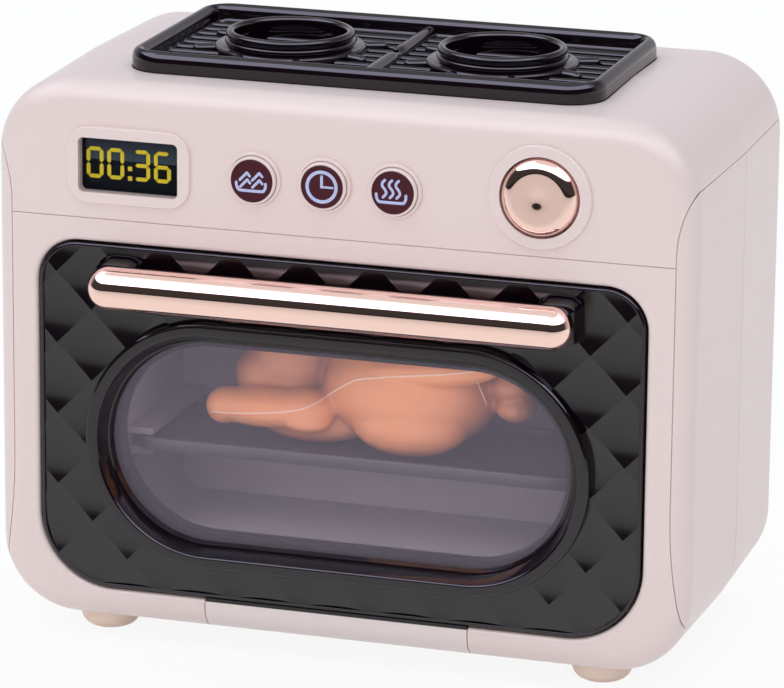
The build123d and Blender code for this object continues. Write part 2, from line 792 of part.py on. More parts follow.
with BuildPart() as door_back:
    with BuildSketch(facing(front_y + door_thickness)):
        add(door_outline(-door_back_inset))
    extrude(amount=door_thickness - panel_thickness - running_gap)
    fillet(ends_of(door_back.edges(), front_y + door_thickness), door_back_edge)
    with BuildSketch(facing(front_y + door_thickness - door_floor_wall)):
        add(door_outline(-door_back_inset - door_floor_wall))
        with Locations((0, window_z)):
            SlotOverall(
                window_width + 2 * window_lap + 2 * door_floor_wall,
                window_height + 2 * window_lap + 2 * door_floor_wall,
                mode=Mode.SUBTRACT,
            )
    extrude(amount=door_thickness, mode=Mode.SUBTRACT)
    sheet_back = facing(back_front + 2 * running_gap + window_thickness)
    add(window_slot(sheet_back, window_lap + 2 * running_gap, door_thickness), mode=Mode.SUBTRACT)
    lip_cut = window_slot(facing(front_y + 2 * door_thickness), -window_lip, 2 * door_thickness)
    add(lip_cut, mode=Mode.SUBTRACT)
    with BuildSketch(facing(front_y + door_thickness)):
        with Locations(*door_screw_places):
            Circle(screw_radius + running_gap)
    extrude(amount=door_floor_wall, mode=Mode.SUBTRACT)
    with BuildSketch(facing(front_y + door_thickness)):
        with Locations(*door_screw_places):
            Circle(screw_head_radius + running_gap)
    extrude(amount=door_floor_wall / 2, mode=Mode.SUBTRACT)
    with Locations((0, back_front, hinge_z)):
        Box(
            hinge_lug_width,
            door_floor_wall + lug_radius - hinge_inset - panel_thickness / 2,
            door_bottom - hinge_z + door_back_inset + door_floor_wall,
            align=(Align.CENTER, Align.MIN, Align.MIN),
        )
    add(hinge_lug.part)
    for side in (-1, 1):
        ends = sorted((side * (lug_half - hinge_pin_length / 2 - running_gap), side * (lug_half + 1)))
        add(hinge_cylinder(hinge_pin_radius + running_gap, *ends), mode=Mode.SUBTRACT)
finish(door_back, "door_back")

with BuildPart() as hinge_pins:
    for side in (-1, 1):
        ends = sorted((side * (lug_half - hinge_pin_length / 2), side * (lug_half + hinge_pin_length / 2)))
        add(hinge_cylinder(hinge_pin_radius, *ends))
finish(hinge_pins, "hinge_pins")


# ---------------------------------------------------------------- screws
def screw(length, head_height):
    """A cross-head screw: the head's face is on the XY plane and the shank runs down."""
    with BuildPart() as one:
        Cylinder(screw_head_radius, head_height, align=(Align.CENTER, Align.CENTER, Align.MAX))
        Cylinder(
            screw_radius - running_gap / 2,
            head_height + length,
            align=(Align.CENTER, Align.CENTER, Align.MAX),
        )
        Box(3 * cross_width, cross_width, head_height, mode=Mode.SUBTRACT)
        Box(cross_width, 3 * cross_width, head_height, mode=Mode.SUBTRACT)
    return one.part


def screws(label, planes, length, head_height):
    """Write one node that holds a like screw at each plane."""
    with BuildPart() as group:
        for plane in planes:
            add(plane.location * screw(length, head_height))
    finish(group, label)


def back_plane(x, y, z):
    """Where a screw that is driven in from the back has the face of its head."""
    return Plane(origin=(x, y, z), x_dir=(-1, 0, 0), z_dir=(0, 1, 0))


low_head = door_floor_wall / 2

screws(
    "door_screws",
    [back_plane(x, front_y + door_thickness, z) for x, z in door_screw_places],
    door_screw_bite,
    low_head,
)
screws(
    "handle_screws",
    [back_plane(x, panel_back + screw_head_height, handle_z) for x in post_xs],
    panel_thickness + handle_reach - handle_depth / 2 + handle_screw_bite,
    screw_head_height,
)
screws(
    "case_screws",
    [back_plane(x, crease_y + 2 * case_wall + screw_head_height, z) for x, z in boss_places],
    screw_length,
    screw_head_height,
)

# ---------------------------------------------------------------- buttons
flange_front = front_y + case_wall + running_gap
switch_height = board_setback - case_wall - button_flange - 2 * running_gap - button_travel - switch_play
stem_end = board_front - switch_height - button_travel - 2 * running_gap


def button_body(x, z, radius, rise, shoulder):
    """A round cap that stands out of the fascia, with a flange and a stem behind it."""
    with BuildPart() as body:
        with BuildSketch(facing(flange_front)):
            with Locations((x, z)):
                Circle(radius)
        extrude(amount=flange_front - front_y + rise)
        fillet(ends_of(body.edges(), front_y - rise), shoulder)
        with BuildSketch(facing(flange_front + button_flange)):
            with Locations((x, z)):
                Circle(radius + button_flange)
        extrude(amount=button_flange)
        with BuildSketch(facing(stem_end)):
            with Locations((x, z)):
                Circle(stem_radius)
        extrude(amount=stem_end - flange_front)
    return body.part


disc_back = front_y - button_rise + disc_thickness - disc_edge
for number, x in enumerate(button_xs, 1):
    with BuildPart() as button_cap:
        add(button_body(x, button_z, button_radius, button_rise, button_edge))
        with BuildSketch(facing(disc_back)):
            with Locations((x, button_z)):
                Circle(disc_radius + running_gap)
        extrude(amount=disc_thickness, mode=Mode.SUBTRACT)
    finish(button_cap, f"button_cap_{number}")
    with BuildPart() as button_disc:
        with BuildSketch(facing(disc_back)):
            with Locations((x, button_z)):
                Circle(disc_radius)
        extrude(amount=disc_thickness)
        fillet(ends_of(button_disc.edges(), disc_back - disc_thickness), disc_edge)
    finish(button_disc, f"button_disc_{number}")

with BuildPart() as start_button:
    add(button_body(start_x, start_z, start_radius, start_rise, start_shoulder))
finish(start_button, "start_button")

# ---------------------------------------------------------------- clock
with BuildPart() as clock_lens:
    with BuildSketch(facing(front_y + lens_inset + lens_thickness)):
        with Locations((clock_x, clock_z)):
            RectangleRounded(
                clock_width - 2 * running_gap, clock_height - 2 * running_gap, clock_round - running_gap
            )
    extrude(amount=lens_thickness)
finish(clock_lens, "clock_lens")

with BuildPart() as clock_display:
    with BuildSketch(facing(board_front)):
        with Locations((clock_x, clock_z)):
            Rectangle(clock_width + 2 * button_flange, clock_height + 2 * button_flange)
    extrude(amount=board_setback - case_wall - running_gap)
finish(clock_display, "clock_display")

# ---------------------------------------------------------------- control board
with BuildPart() as control_board:
    with BuildSketch(facing(board_front + board_thickness)):
        with Locations((0, button_z)):
            Rectangle(board_width, board_height)
        with Locations(*standoff_places):
            Circle(screw_radius + running_gap, mode=Mode.SUBTRACT)
    extrude(amount=board_thickness)
finish(control_board, "control_board")

switch_places = [(x, button_z) for x in button_xs] + [(start_x, start_z)]
with BuildPart() as tact_switches:
    with BuildSketch(facing(board_front)):
        with Locations(*switch_places):
            Rectangle(switch_size, switch_size)
    extrude(amount=switch_height * 0.75)
    with BuildSketch(facing(board_front)):
        with Locations(*switch_places):
            Circle(switch_knob_radius)
    extrude(amount=switch_height)
finish(tact_switches, "tact_switches")

screws(
    "board_screws",
    [back_plane(x, board_front + board_thickness + screw_head_height, z) for x, z in standoff_places],
    board_thickness + board_screw_bite,
    screw_head_height,
)

# ---------------------------------------------------------------- speaker and battery bay
with BuildPart() as speaker:
    with BuildSketch(facing(back_y - case_wall)):
        with Locations((speaker_x, speaker_height)):
            Circle(speaker_radius)
    extrude(amount=speaker_flange)
    with BuildSketch(facing(back_y - case_wall)):
        with Locations((speaker_x, speaker_height)):
            Circle(speaker_magnet_radius)
    extrude(amount=speaker_depth)
finish(speaker, "speaker")

with BuildPart() as battery_bay:
    with BuildSketch(facing(back_y - case_wall)):
        with Locations((bay_x, bay_height)):
            Rectangle(bay_width, bay_tall)
    extrude(amount=bay_depth)
    with BuildSketch(facing(back_y - case_wall)):
        with Locations((bay_x, bay_height)):
            Rectangle(bay_width - 2 * bay_wall, bay_tall - 2 * bay_wall)
    extrude(amount=bay_depth - bay_wall, mode=Mode.SUBTRACT)
finish(battery_bay, "battery_bay")

cell_y = rear_bay_front + bay_wall + cell_radius + running_gap
cell_zs = [bay_height + (i - (cell_count - 1) / 2) * cell_pitch for i in range(cell_count)]
with BuildPart() as battery_cells:
    with BuildSketch(Plane(origin=(bay_x - cell_length / 2, 0, 0), x_dir=(0, 1, 0), z_dir=(1, 0, 0))):
        with Locations(*[(cell_y, z) for z in cell_zs]):
            Circle(cell_radius)
    extrude(amount=cell_length)
finish(battery_cells, "battery_cells")

contact_thickness = bay_gap - running_gap * 2
with BuildPart() as battery_contacts:
    for side in (-1, 1):
        with Locations(*[(bay_x + side * (cell_length / 2 + bay_gap / 2), cell_y, z) for z in cell_zs]):
            Box(contact_thickness, cell_radius, cell_radius)
finish(battery_contacts, "battery_contacts")

with BuildPart() as battery_door:
    with BuildSketch(facing(back_y)):
        with Locations((bay_x, bay_height)):
            RectangleRounded(hatch_width - 2 * hatch_gap, hatch_tall - 2 * hatch_gap, hatch_corner)
        with Locations((bay_x, hatch_screw_z)):
            Circle(screw_radius + running_gap, mode=Mode.SUBTRACT)
    extrude(amount=hatch_thickness - running_gap)
    with BuildSketch(facing(back_y)):
        with Locations((bay_x, hatch_screw_z)):
            Circle(screw_head_radius + running_gap)
    extrude(amount=hatch_thickness / 2, mode=Mode.SUBTRACT)
finish(battery_door, "battery_door")
screws(
    "battery_door_screw", [back_plane(bay_x, back_y, hatch_screw_z)], hatch_screw_bite, hatch_thickness / 2
)
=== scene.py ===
# %% [markdown]
# # Dressing a toy oven
# The part itself is already built and packed: casings, door, buttons, tray and all the rest sit in one
# fixed frame. This notebook gives it its looks. The hard shells that already have the right shape only
# get a finish. The quilted door skin, the plated bar and button, the roast chicken, the digits and the
# icons are modelled here as meshes, because their charm is in soft relief that a plain solid doesn't have.
# Everything is in metres, +X to the right, +Y to the back and +Z up, so a piece goes where the frame says.

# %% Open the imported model
import math

import bpy
import bmesh
import numpy as np
from mathutils import Matrix, Vector
from mathutils.bvhtree import BVHTree


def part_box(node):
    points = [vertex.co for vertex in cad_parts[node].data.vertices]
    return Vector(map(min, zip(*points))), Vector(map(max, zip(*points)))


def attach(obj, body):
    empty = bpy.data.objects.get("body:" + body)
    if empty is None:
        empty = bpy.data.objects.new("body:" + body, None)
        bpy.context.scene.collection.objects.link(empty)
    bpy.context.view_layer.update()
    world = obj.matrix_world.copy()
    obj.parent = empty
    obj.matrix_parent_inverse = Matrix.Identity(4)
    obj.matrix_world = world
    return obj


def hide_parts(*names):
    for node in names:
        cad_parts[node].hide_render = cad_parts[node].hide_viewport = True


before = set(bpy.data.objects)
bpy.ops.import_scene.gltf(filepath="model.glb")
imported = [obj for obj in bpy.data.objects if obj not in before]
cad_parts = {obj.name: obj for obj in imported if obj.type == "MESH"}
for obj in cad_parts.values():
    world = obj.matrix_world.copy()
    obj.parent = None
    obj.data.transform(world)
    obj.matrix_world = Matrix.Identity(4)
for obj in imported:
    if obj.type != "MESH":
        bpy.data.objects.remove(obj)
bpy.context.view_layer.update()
MM = 0.001

# %% [markdown]
# ## Where the pieces are
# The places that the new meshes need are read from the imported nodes, not typed again. The front face of
# the case, the outline of the door and the window's sheet tell where the quilt, the ring and the bar go.

# %% Read the places
front_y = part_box("front_frame")[0].y
panel_low, panel_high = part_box("door_panel")
glass_low, glass_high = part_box("door_window")
bar_low, bar_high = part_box("handle_bar")
door_left, door_right = panel_low.x, panel_high.x
door_low, door_top = panel_low.z, panel_high.z
bar_hang = 1.65 * MM
bar_mid_z = (bar_low.z + bar_high.z) / 2 - bar_hang
places = {"door right": door_right, "door low": door_low, "door top": door_top, "front": front_y}
print({name: round(place / MM, 1) for name, place in places.items()})

# %% [markdown]
# ## Small helpers
# A mesh here starts as a list of points and a list of faces. One helper turns such a list into an object
# that is smooth-shaded, rides on its body and takes its finish. Keeping this in one place means that every
# piece says, in one line, what it rides on and which of the part's nodes it stands for.


# %% Make a piece from points and faces
def piece(name, points, faces, finish, body, stands_for=None, smooth=True):
    """Make a mesh object from points and faces and put it on its body."""
    mesh = bpy.data.meshes.new(name)
    mesh.from_pydata([tuple(p) for p in points], [], faces)
    mesh.validate()
    mesh.update()
    made = bpy.data.objects.new(name, mesh)
    bpy.context.scene.collection.objects.link(made)
    for face in mesh.polygons:
        face.use_smooth = smooth
    settle(made, finish, body, stands_for)
    return made


def settle(made, finish, body, stands_for=None):
    """Give a mesh its finish, the body it moves with and the node it stands for."""
    made.data.materials.clear()
    made.data.materials.append(finish)
    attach(made, body)
    if stands_for:
        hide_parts(stands_for)
    return made


def face_outward(made):
    """Turn all faces so that their normals point out of the closed mesh."""
    mesh_edit = bmesh.new()
    mesh_edit.from_mesh(made.data)
    bmesh.ops.remove_doubles(mesh_edit, verts=mesh_edit.verts, dist=1e-6)
    bmesh.ops.recalc_face_normals(mesh_edit, faces=mesh_edit.faces)
    mesh_edit.to_mesh(made.data)
    mesh_edit.free()
    return made


# %% [markdown]
# Most pieces here are rows of points with quads from each row to the next: a profile carried round a loop
# for the door's rim and the window's ring, a stack of outlines for the bar, a turned shape for the start
# button. One function gives the quads for all of them. It caps nothing, so a loft closes its own ends.


# %% Carry a profile round a loop
def loop_faces(stops, width, closed_loop=True, closed_profile=True):
    """Quads between stops rows of width points each."""
    faces = []
    for i in range(stops if closed_loop else stops - 1):
        here, there = i * width, ((i + 1) % stops) * width
        for j in range(width if closed_profile else width - 1):
            k = (j + 1) % width
            faces.append((here + j, here + k, there + k, there + j))
    return faces


def stadium(half_width, half_height, arc_steps=48, side_steps=40):
    """Points and outward directions round a stadium that is longer along X, anticlockwise."""
    flat = half_width - half_height
    stops = []
    for sign in (1, -1):
        for i in range(side_steps):
            stops.append((sign * (flat - 2 * flat * i / side_steps), sign * half_height, 0.0, float(sign)))
        for i in range(arc_steps):
            turn = sign * math.pi / 2 + math.pi * i / arc_steps
            nx, nz = math.cos(turn), math.sin(turn)
            stops.append((half_height * nx - sign * flat, half_height * nz, nx, nz))
    return stops


# %% [markdown]
# ## Finishes are small graphs
# A finish is a graph of nodes: noise, masks and mixes that end in one shader. Setting up a node takes the
# same few steps each time, so one helper does it, and two more do what several finishes need: they read
# the place along one axis, and they show another colour where a mask says so.


# %% Helpers for nodes
def add_node(tree, kind, feeds=None, **settings):
    """Add a shader node. Feeds are outputs or plain values for its inputs, settings are its own switches."""
    made = tree.nodes.new("ShaderNode" + kind)
    for setting, value in settings.items():
        setattr(made, setting, value)
    for key, value in (feeds or {}).items():
        if isinstance(value, bpy.types.NodeSocket):
            tree.links.new(value, made.inputs[key])
        else:
            made.inputs[key].default_value = value
    return made


def new_finish(name):
    """An empty finish: the material, its graph and its shader."""
    finish = bpy.data.materials.new(name)
    finish.use_nodes = True
    return finish, finish.node_tree, finish.node_tree.nodes["Principled BSDF"]


def along_axis(tree, letter):
    """The place along one axis, as a number for each spot of the surface."""
    place = add_node(tree, "TexCoord").outputs["Object"]
    return add_node(tree, "SeparateXYZ", {"Vector": place}).outputs[letter]


def recolour(finish, mask, colour):
    """Show another colour where the mask is 1."""
    tree = finish.node_tree
    base = tree.nodes["Principled BSDF"].inputs["Base Color"]
    own_colour = base.links[0].from_socket
    mixed = add_node(tree, "Mix", {"Factor": mask, "A": own_colour, "B": colour}, data_type="RGBA")
    tree.links.new(mixed.outputs["Result"], base)


# %% [markdown]
# ## Moulded plastic
# Real moulded plastic isn't one colour and one gloss. The colour drifts a little from place to place, the
# polish varies, and the skin has a very fine orange-peel waviness that softens reflections. One function
# makes such a finish from noise. Numbers that hold for the whole surface sit directly on the shader.


# %% One function for every moulded finish
def moulded(name, colour, rough=0.3, drift=0.03, peel=0.02, peel_scale=900, **sockets):
    """Moulded plastic: a slow drift of colour, a finer drift of polish and a faint orange peel."""
    finish, tree, shader = new_finish(name)
    place = add_node(tree, "TexCoord").outputs["Object"]
    slow = add_node(tree, "TexNoise", {"Vector": place, "Scale": 28, "Detail": 3})
    darker = (*[c * (1 - drift) for c in colour], 1)
    paler = (*[min(1, c * (1 + drift)) for c in colour], 1)
    tint = add_node(tree, "Mix", {"Factor": slow.outputs["Fac"], "A": darker, "B": paler}, data_type="RGBA")
    tree.links.new(tint.outputs["Result"], shader.inputs["Base Color"])
    polish = add_node(tree, "TexNoise", {"Vector": place, "Scale": 160, "Detail": 5})
    low, high = rough * 0.85, rough * 1.15
    spread = add_node(tree, "MapRange", {"Value": polish.outputs["Fac"], "To Min": low, "To Max": high})
    tree.links.new(spread.outputs["Result"], shader.inputs["Roughness"])
    skin = add_node(tree, "TexNoise", {"Vector": place, "Scale": peel_scale, "Detail": 2})
    peel_height = 0.2 * MM
    bump = add_node(tree, "Bump", {"Height": skin.outputs["Fac"], "Strength": peel, "Distance": peel_height})
    tree.links.new(bump.outputs["Normal"], shader.inputs["Normal"])
    for socket, value in sockets.items():
        shader.inputs[socket.replace("_", " ")].default_value = value
    return finish


def srgb(red, green, blue):
    """A colour as a paint chart gives it, 0 to 255, turned into the linear values that shaders want."""
    chart = [v / 255 for v in (red, green, blue)]
    return tuple(c / 12.92 if c <= 0.04045 else ((c + 0.055) / 1.055) ** 2.4 for c in chart)


cream = moulded("cream_case_plastic", srgb(238, 217, 211), rough=0.34, drift=0.01)
pale_liner = moulded("pale_liner_plastic", srgb(136, 125, 135), rough=0.45, drift=0.02)
piano_black = moulded("piano_black_plastic", srgb(16, 5, 13), rough=0.07, drift=0.08, peel=0.01, IOR=1.55)
quilt_black = moulded("quilted_black_plastic", srgb(14, 5, 12), rough=0.14, drift=0.05, peel=0.015, IOR=1.6)
foot_pink = moulded(
    "soft_foot_rubber", srgb(252, 226, 210), rough=0.4, drift=0.03, Subsurface_Weight=0.3, Subsurface_Scale=0.004
)
maroon = moulded("dark_red_button_plastic", srgb(74, 26, 36), rough=0.3, drift=0.04, Specular_IOR_Level=0.2)
icon_ink = moulded("lavender_icon_ink", srgb(190, 196, 232), rough=0.5, drift=0.02)
segment_yellow = moulded("yellow_segment_ink", srgb(246, 218, 30), rough=0.5, drift=0.04)
lens_black = moulded("clock_face_black", srgb(13, 18, 25), rough=0.4, drift=0.05, Specular_IOR_Level=0.1)
tray_black = moulded("tray_plastic", srgb(70, 66, 76), rough=0.2, drift=0.04)
steel = moulded("zinc_plated_steel", srgb(176, 178, 184), rough=0.3, drift=0.05, Metallic=1.0)
board_green = moulded("board_lacquer", srgb(24, 92, 50), rough=0.35, drift=0.08)
matt_black = moulded("matt_black_plastic", srgb(26, 26, 28), rough=0.5, drift=0.05)
cell_jacket = moulded("cell_jacket", srgb(88, 92, 104), rough=0.3, drift=0.05, Metallic=0.6)
print("finishes", [finish.name for finish in bpy.data.materials])

# %% [markdown]
# ## Two-tone rear of the door
# The rear shell of the door is black where it frames the window and cream at the lug that fills the gap
# under the door. A mask on the height tells the two apart.

# %% Two-tone shell
two_tone = moulded("door_rear_plastic", srgb(238, 222, 217), rough=0.34, drift=0.01)
tree = two_tone.node_tree
change_low, change_high = door_low - 1.2 * MM, door_low - 1.0 * MM
height = along_axis(tree, "Z")
above = add_node(tree, "MapRange", {"Value": height, "From Min": change_low, "From Max": change_high})
recolour(two_tone, above.outputs["Result"], (*srgb(16, 11, 15), 1))
print("the rear shell turns black above", round(change_high / MM, 1), "mm")

# %% [markdown]
# ## Painted glow on the clock face
# Behind the clock's lens the upper half of the digits' field has a faint painted glow, strongest towards its
# middle line, and the rest is black. The same kind of mask as on the door picks out that field.

# %% Painted glow on the clock face
face_low, face_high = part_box("clock_display")
field_mid, field_half, field_height = (face_low.x + face_high.x) / 2, 14.1 * MM, 8.2 * MM
tree = lens_black.node_tree
across = add_node(tree, "Math", {0: along_axis(tree, "X"), 1: field_mid, 2: field_half}, operation="COMPARE")
down = add_node(tree, "MapRange", {
    "Value": along_axis(tree, "Z"), "From Min": face_high.z, "From Max": face_high.z - field_height,
}).outputs["Result"]
# painted glow: a lighter base colour, strongest at the field's middle line, stands for light from the face
dim, painted_glow_peak = (*srgb(30, 34, 40), 1), (*srgb(66, 78, 90), 1)
glow = add_node(tree, "Mix", {"Factor": down, "A": dim, "B": painted_glow_peak}, data_type="RGBA")
upper = add_node(tree, "Math", {0: down, 1: 1.0}, operation="LESS_THAN")
field = add_node(tree, "Math", {0: across.outputs["Value"], 1: upper.outputs["Value"]}, operation="MULTIPLY")
recolour(lens_black, field.outputs["Value"], glow.outputs["Result"])
print("the lit field is", round(2 * field_half / MM, 1), "mm wide")

# %% [markdown]
# ## Roast skin
# The roast skin is a soft vinyl that lets a little light in, which takes the hardness out of its shadows.

# %% Roast skin
chicken_skin = moulded(
    "roast_skin", srgb(232, 150, 102), rough=0.42, drift=0.05, peel=0.05, peel_scale=500,
    Subsurface_Weight=0.25, Subsurface_Scale=0.003,
)
print("roast skin", chicken_skin.name)

# %% [markdown]
# ## Rose plating
# Vacuum plating is a very thin metal film over polished plastic, so it reflects like a mirror and keeps the
# plastic's faint waviness. A metallic shader with a warm pink colour and almost no roughness gives that.

# %% Rose plating
rose_plating = moulded(
    "rose_plating", srgb(246, 212, 200), rough=0.06, drift=0.02, peel=0.006, peel_scale=300, Metallic=1.0
)
print("finishes", len(bpy.data.materials))

# %% [markdown]
# ## Smoked window
# The sheet is clear plastic with a light smoke in it. It has to stay see-through in every renderer, so it
# mixes transparency with a faint grey body and a sharp surface gloss, rather than bending light.


# %% Smoked sheet
def smoked(name, smoke, tint, shine=0.5):
    """A thin smoked sheet: mostly see-through, tinted, with a glossy surface."""
    finish, tree, shader = new_finish(name)
    place = add_node(tree, "TexCoord").outputs["Object"]
    haze = add_node(tree, "TexNoise", {"Vector": place, "Scale": 40})
    low, high = smoke * 0.94, smoke * 1.06
    spread = add_node(tree, "MapRange", {"Value": haze.outputs["Fac"], "To Min": low, "To Max": high})
    tree.links.new(spread.outputs["Result"], shader.inputs["Alpha"])
    shader.inputs["Base Color"].default_value = (*tint, 1)
    shader.inputs["Roughness"].default_value = 0.03
    shader.inputs["Specular IOR Level"].default_value = shine
    return finish


window_smoke = smoked("smoked_window_sheet", 0.4, srgb(118, 108, 122))
lens_smoke = smoked("clock_lens_sheet", 0.08, srgb(20, 22, 28), shine=0.1)
print("sheets", window_smoke.name, lens_smoke.name)

# %% [markdown]
# ## Finishes for the ready-made nodes
# Every node that keeps its own shape gets its finish from this list, which reads like a parts list: the
# finish first, then all the pieces that are moulded or made in it.

# %% Hand out the finishes
wears = {
    cream: ["top_shell", "front_frame", "body_shell", "rear_cover", "battery_bay", "battery_door",
            "button_cap_1", "button_cap_2", "button_cap_3"],
    pale_liner: ["cavity_liner"],
    piano_black: ["hob_plate", "door_panel"],
    two_tone: ["door_back"],
    chicken_skin: ["chicken_upper_shell", "chicken_lower_shell"],
    foot_pink: ["foot_front_left", "foot_rear_left", "foot_front_right", "foot_rear_right"],
    maroon: ["button_disc_1", "button_disc_2", "button_disc_3"],
    rose_plating: ["handle_bar", "start_button"],
    window_smoke: ["door_window"],
    lens_smoke: ["clock_lens"],
    lens_black: ["clock_display"],
    tray_black: ["tray"],
    steel: ["hinge_pins", "case_screws", "door_screws", "handle_screws", "board_screws", "battery_door_screw",
            "battery_contacts"],
    board_green: ["control_board"],
    matt_black: ["tact_switches", "speaker"],
    cell_jacket: ["battery_cells"],
}
for finish, names in wears.items():
    for name in names:
        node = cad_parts[name]
        node.data.materials.clear()
        node.data.materials.append(finish)
print("dressed nodes", sum(len(names) for names in wears.values()))

# %% [markdown]
# ## The quilted door skin
# The skin is a lattice of square cells turned by 45 degrees. Each cell is a shallow dish, and where two
# dishes meet they leave a crisp ridge. The grid of the mesh is turned with the cells, so that every ridge
# is a real edge and stays sharp. The slab is first made too large and then cut to the door's outline.

# %% Dished lattice
ridge_step = 21.6 * MM / math.sqrt(2)
crossing_z = 69.7 * MM
dish_depth = 1.05 * MM
skin_depth = 3.2 * MM
splits = 18


def dish(u, v):
    """How far the surface lies behind the ridge crossings."""
    from_mid = [((t / ridge_step) % 1 - 0.5) * 2 for t in (u, v)]
    return dish_depth * (1 - (from_mid[0] ** 2 + from_mid[1] ** 2) / 2)


def lattice_slab():
    """Points and faces of a closed slab, dished in front, flat at the back, a little larger than the door."""
    spread_cells, spare = 9, 3 * MM
    keep_x, keep_low, keep_high = door_right + spare, door_low - spare, door_top + spare
    count = 2 * spread_cells * splits
    index, front, quads, edge_uses = {}, [], [], {}

    def grid_place(i, j):
        u, v = (i - count / 2) * ridge_step / splits, (j - count / 2) * ridge_step / splits
        return u, v, (u - v) / math.sqrt(2), (u + v) / math.sqrt(2) + crossing_z

    def corner(i, j):
        if (i, j) not in index:
            u, v, x, z = grid_place(i, j)
            index[i, j] = len(front)
            front.append((x, front_y + dish(u, v), z))
        return index[i, j]

    for i in range(count):
        for j in range(count):
            _, _, x, z = grid_place(i + 0.5, j + 0.5)
            if abs(x) < keep_x and keep_low < z < keep_high:
                quad = (corner(i, j), corner(i + 1, j), corner(i + 1, j + 1), corner(i, j + 1))
                quads.append(quad)
                for a, b in zip(quad, quad[1:] + quad[:1]):
                    edge_uses[frozenset((a, b))] = None if frozenset((a, b)) in edge_uses else (a, b)
    back = [(x, front_y + skin_depth, z) for x, y, z in front]
    shift = len(front)
    faces = quads + [tuple(shift + k for k in reversed(quad)) for quad in quads]
    faces += [(a, shift + a, shift + b, b) for a, b in filter(None, edge_uses.values())]
    return front + back, faces


slab_points, slab_faces = lattice_slab()
print("slab", len(slab_points), "points", len(slab_faces), "faces")

# %% [markdown]
# Cutting is done with closed prisms: one in the shape of the door keeps what is inside, another in the
# shape of the ring's outer wall makes room for the ring.


# %% Loops and cuts
def door_loop(inset, steps=14):
    """Points and outward directions round the door's outline, inset on every side."""
    high_round, low_round = 12 * MM - inset, 22 * MM - inset
    corners = [
        (door_right - inset - high_round, door_top - inset - high_round, high_round, 0),
        (door_left + inset + high_round, door_top - inset - high_round, high_round, 90),
        (door_left + inset + low_round, door_low + inset + low_round, low_round, 180),
        (door_right - inset - low_round, door_low + inset + low_round, low_round, 270),
    ]
    stops = []
    for x, z, radius, start in corners:
        for i in range(steps + 1):
            turn = math.radians(start + 90 * i / steps)
            nx, nz = math.cos(turn), math.sin(turn)
            stops.append((x + radius * nx, z + radius * nz, nx, nz))
    return stops


def prism(name, loop, near, far):
    """A closed prism between two depths, used only to cut with."""
    width = len(loop)
    points = [(x, y, z) for y in (near, far) for x, z, *_ in loop]
    faces = loop_faces(2, width, closed_loop=False)
    faces += [tuple(range(width)), tuple(reversed(range(width, 2 * width)))]
    mesh = bpy.data.meshes.new(name)
    mesh.from_pydata(points, [], faces)
    made = bpy.data.objects.new(name, mesh)
    bpy.context.scene.collection.objects.link(made)
    return face_outward(made)


def cut(target, tool, operation):
    """Cut a mesh with a closed prism, keep the result and throw the prism away."""
    step = target.modifiers.new("cut", "BOOLEAN")
    step.operation, step.object, step.solver = operation, tool, "EXACT"
    graph = bpy.context.evaluated_depsgraph_get()
    carved = bpy.data.meshes.new_from_object(target.evaluated_get(graph))
    target.modifiers.clear()
    target.data = carved
    bpy.data.objects.remove(tool)


def crease(made, angle):
    """Shade smooth except where two faces meet at more than this angle."""
    for face in made.data.polygons:
        face.use_smooth = True
    made.data.set_sharp_from_angle(angle=math.radians(angle))
    return made


window_mid_z = (glass_low.z + glass_high.z) / 2
open_half_x, open_half_z = 69.8 * MM, 30.3 * MM
ring_out = 7 * MM
rim_width = 1.2 * MM
under_rim, under_ring = 0.3 * MM, 0.6 * MM


def window_loop(grow, arc_steps=64, side_steps=48):
    """The window's stadium in its place, grown on every side."""
    loop = stadium(open_half_x + grow, open_half_z + grow, arc_steps, side_steps)
    return [(x, z + window_mid_z, nx, nz) for x, z, nx, nz in loop]


quilt = piece("quilted_skin", slab_points, slab_faces, quilt_black, "door", "door_panel")
face_outward(quilt)
far_front, far_back = front_y - 5 * MM, front_y + 9 * MM
cut(quilt, prism("outline_cutter", door_loop(rim_width - under_rim), far_front, far_back), "INTERSECT")
cut(quilt, prism("ring_cutter", window_loop(ring_out - under_ring), far_front, far_back), "DIFFERENCE")
crease(quilt, 13)
print("quilt faces", len(quilt.data.polygons))


# %% [markdown]
# ## Lips behind the seams
# Moulded casings meet with a small lip, so one never looks straight into a seam. Each lip here is a thin
# strip that lies half a millimetre under the surface and follows its seam. The strips follow the case's
# outline, which is a rounded rectangle, drafted both ways from its widest place and rounded at its ends.

# %% The case's surface
case_mid_z, case_half_x, case_half_z, case_corner = 88.6, 106.5, 82.6, 24.0
case_front, case_back, widest_y = -47.5, 62.5, 8.5
case_front_round, case_back_round = 7.5, 9.0
draft = math.tan(math.radians(1))


def edge_inset(y):
    """How far the outline at a depth lies inside the widest outline."""
    inset = draft * abs(y - widest_y)
    for end, radius in ((y - case_front, case_front_round), (case_back - y, case_back_round)):
        if end < radius:
            inset += radius - math.sqrt(max(radius**2 - (radius - max(end, 0)) ** 2, 0))
    return inset


def inset_at(x, z):
    """How far a place seen from the front lies inside the case's widest outline."""
    dx = abs(x) - (case_half_x - case_corner)
    dz = abs(z - case_mid_z) - (case_half_z - case_corner)
    return case_corner - math.hypot(max(dx, 0), max(dz, 0)) - min(max(dx, dz), 0)


def depth_at(x, z):
    """Depth of the front surface at a place seen from the front."""
    inset = inset_at(x, z)
    low, high = case_front, 0.0
    for _ in range(40):
        middle = (low + high) / 2
        low, high = (middle, high) if edge_inset(middle) > inset else (low, middle)
    return low


def side_at(y, z):
    """Half width of the case at a depth and a height."""
    inset = edge_inset(y)
    rise = max(abs(z - case_mid_z) - (case_half_z - case_corner), 0)
    return case_half_x - case_corner + math.sqrt(max((case_corner - inset) ** 2 - rise**2, 0))


lip_under, lip_rear, lip_half = 0.5, 1.1, 0.9


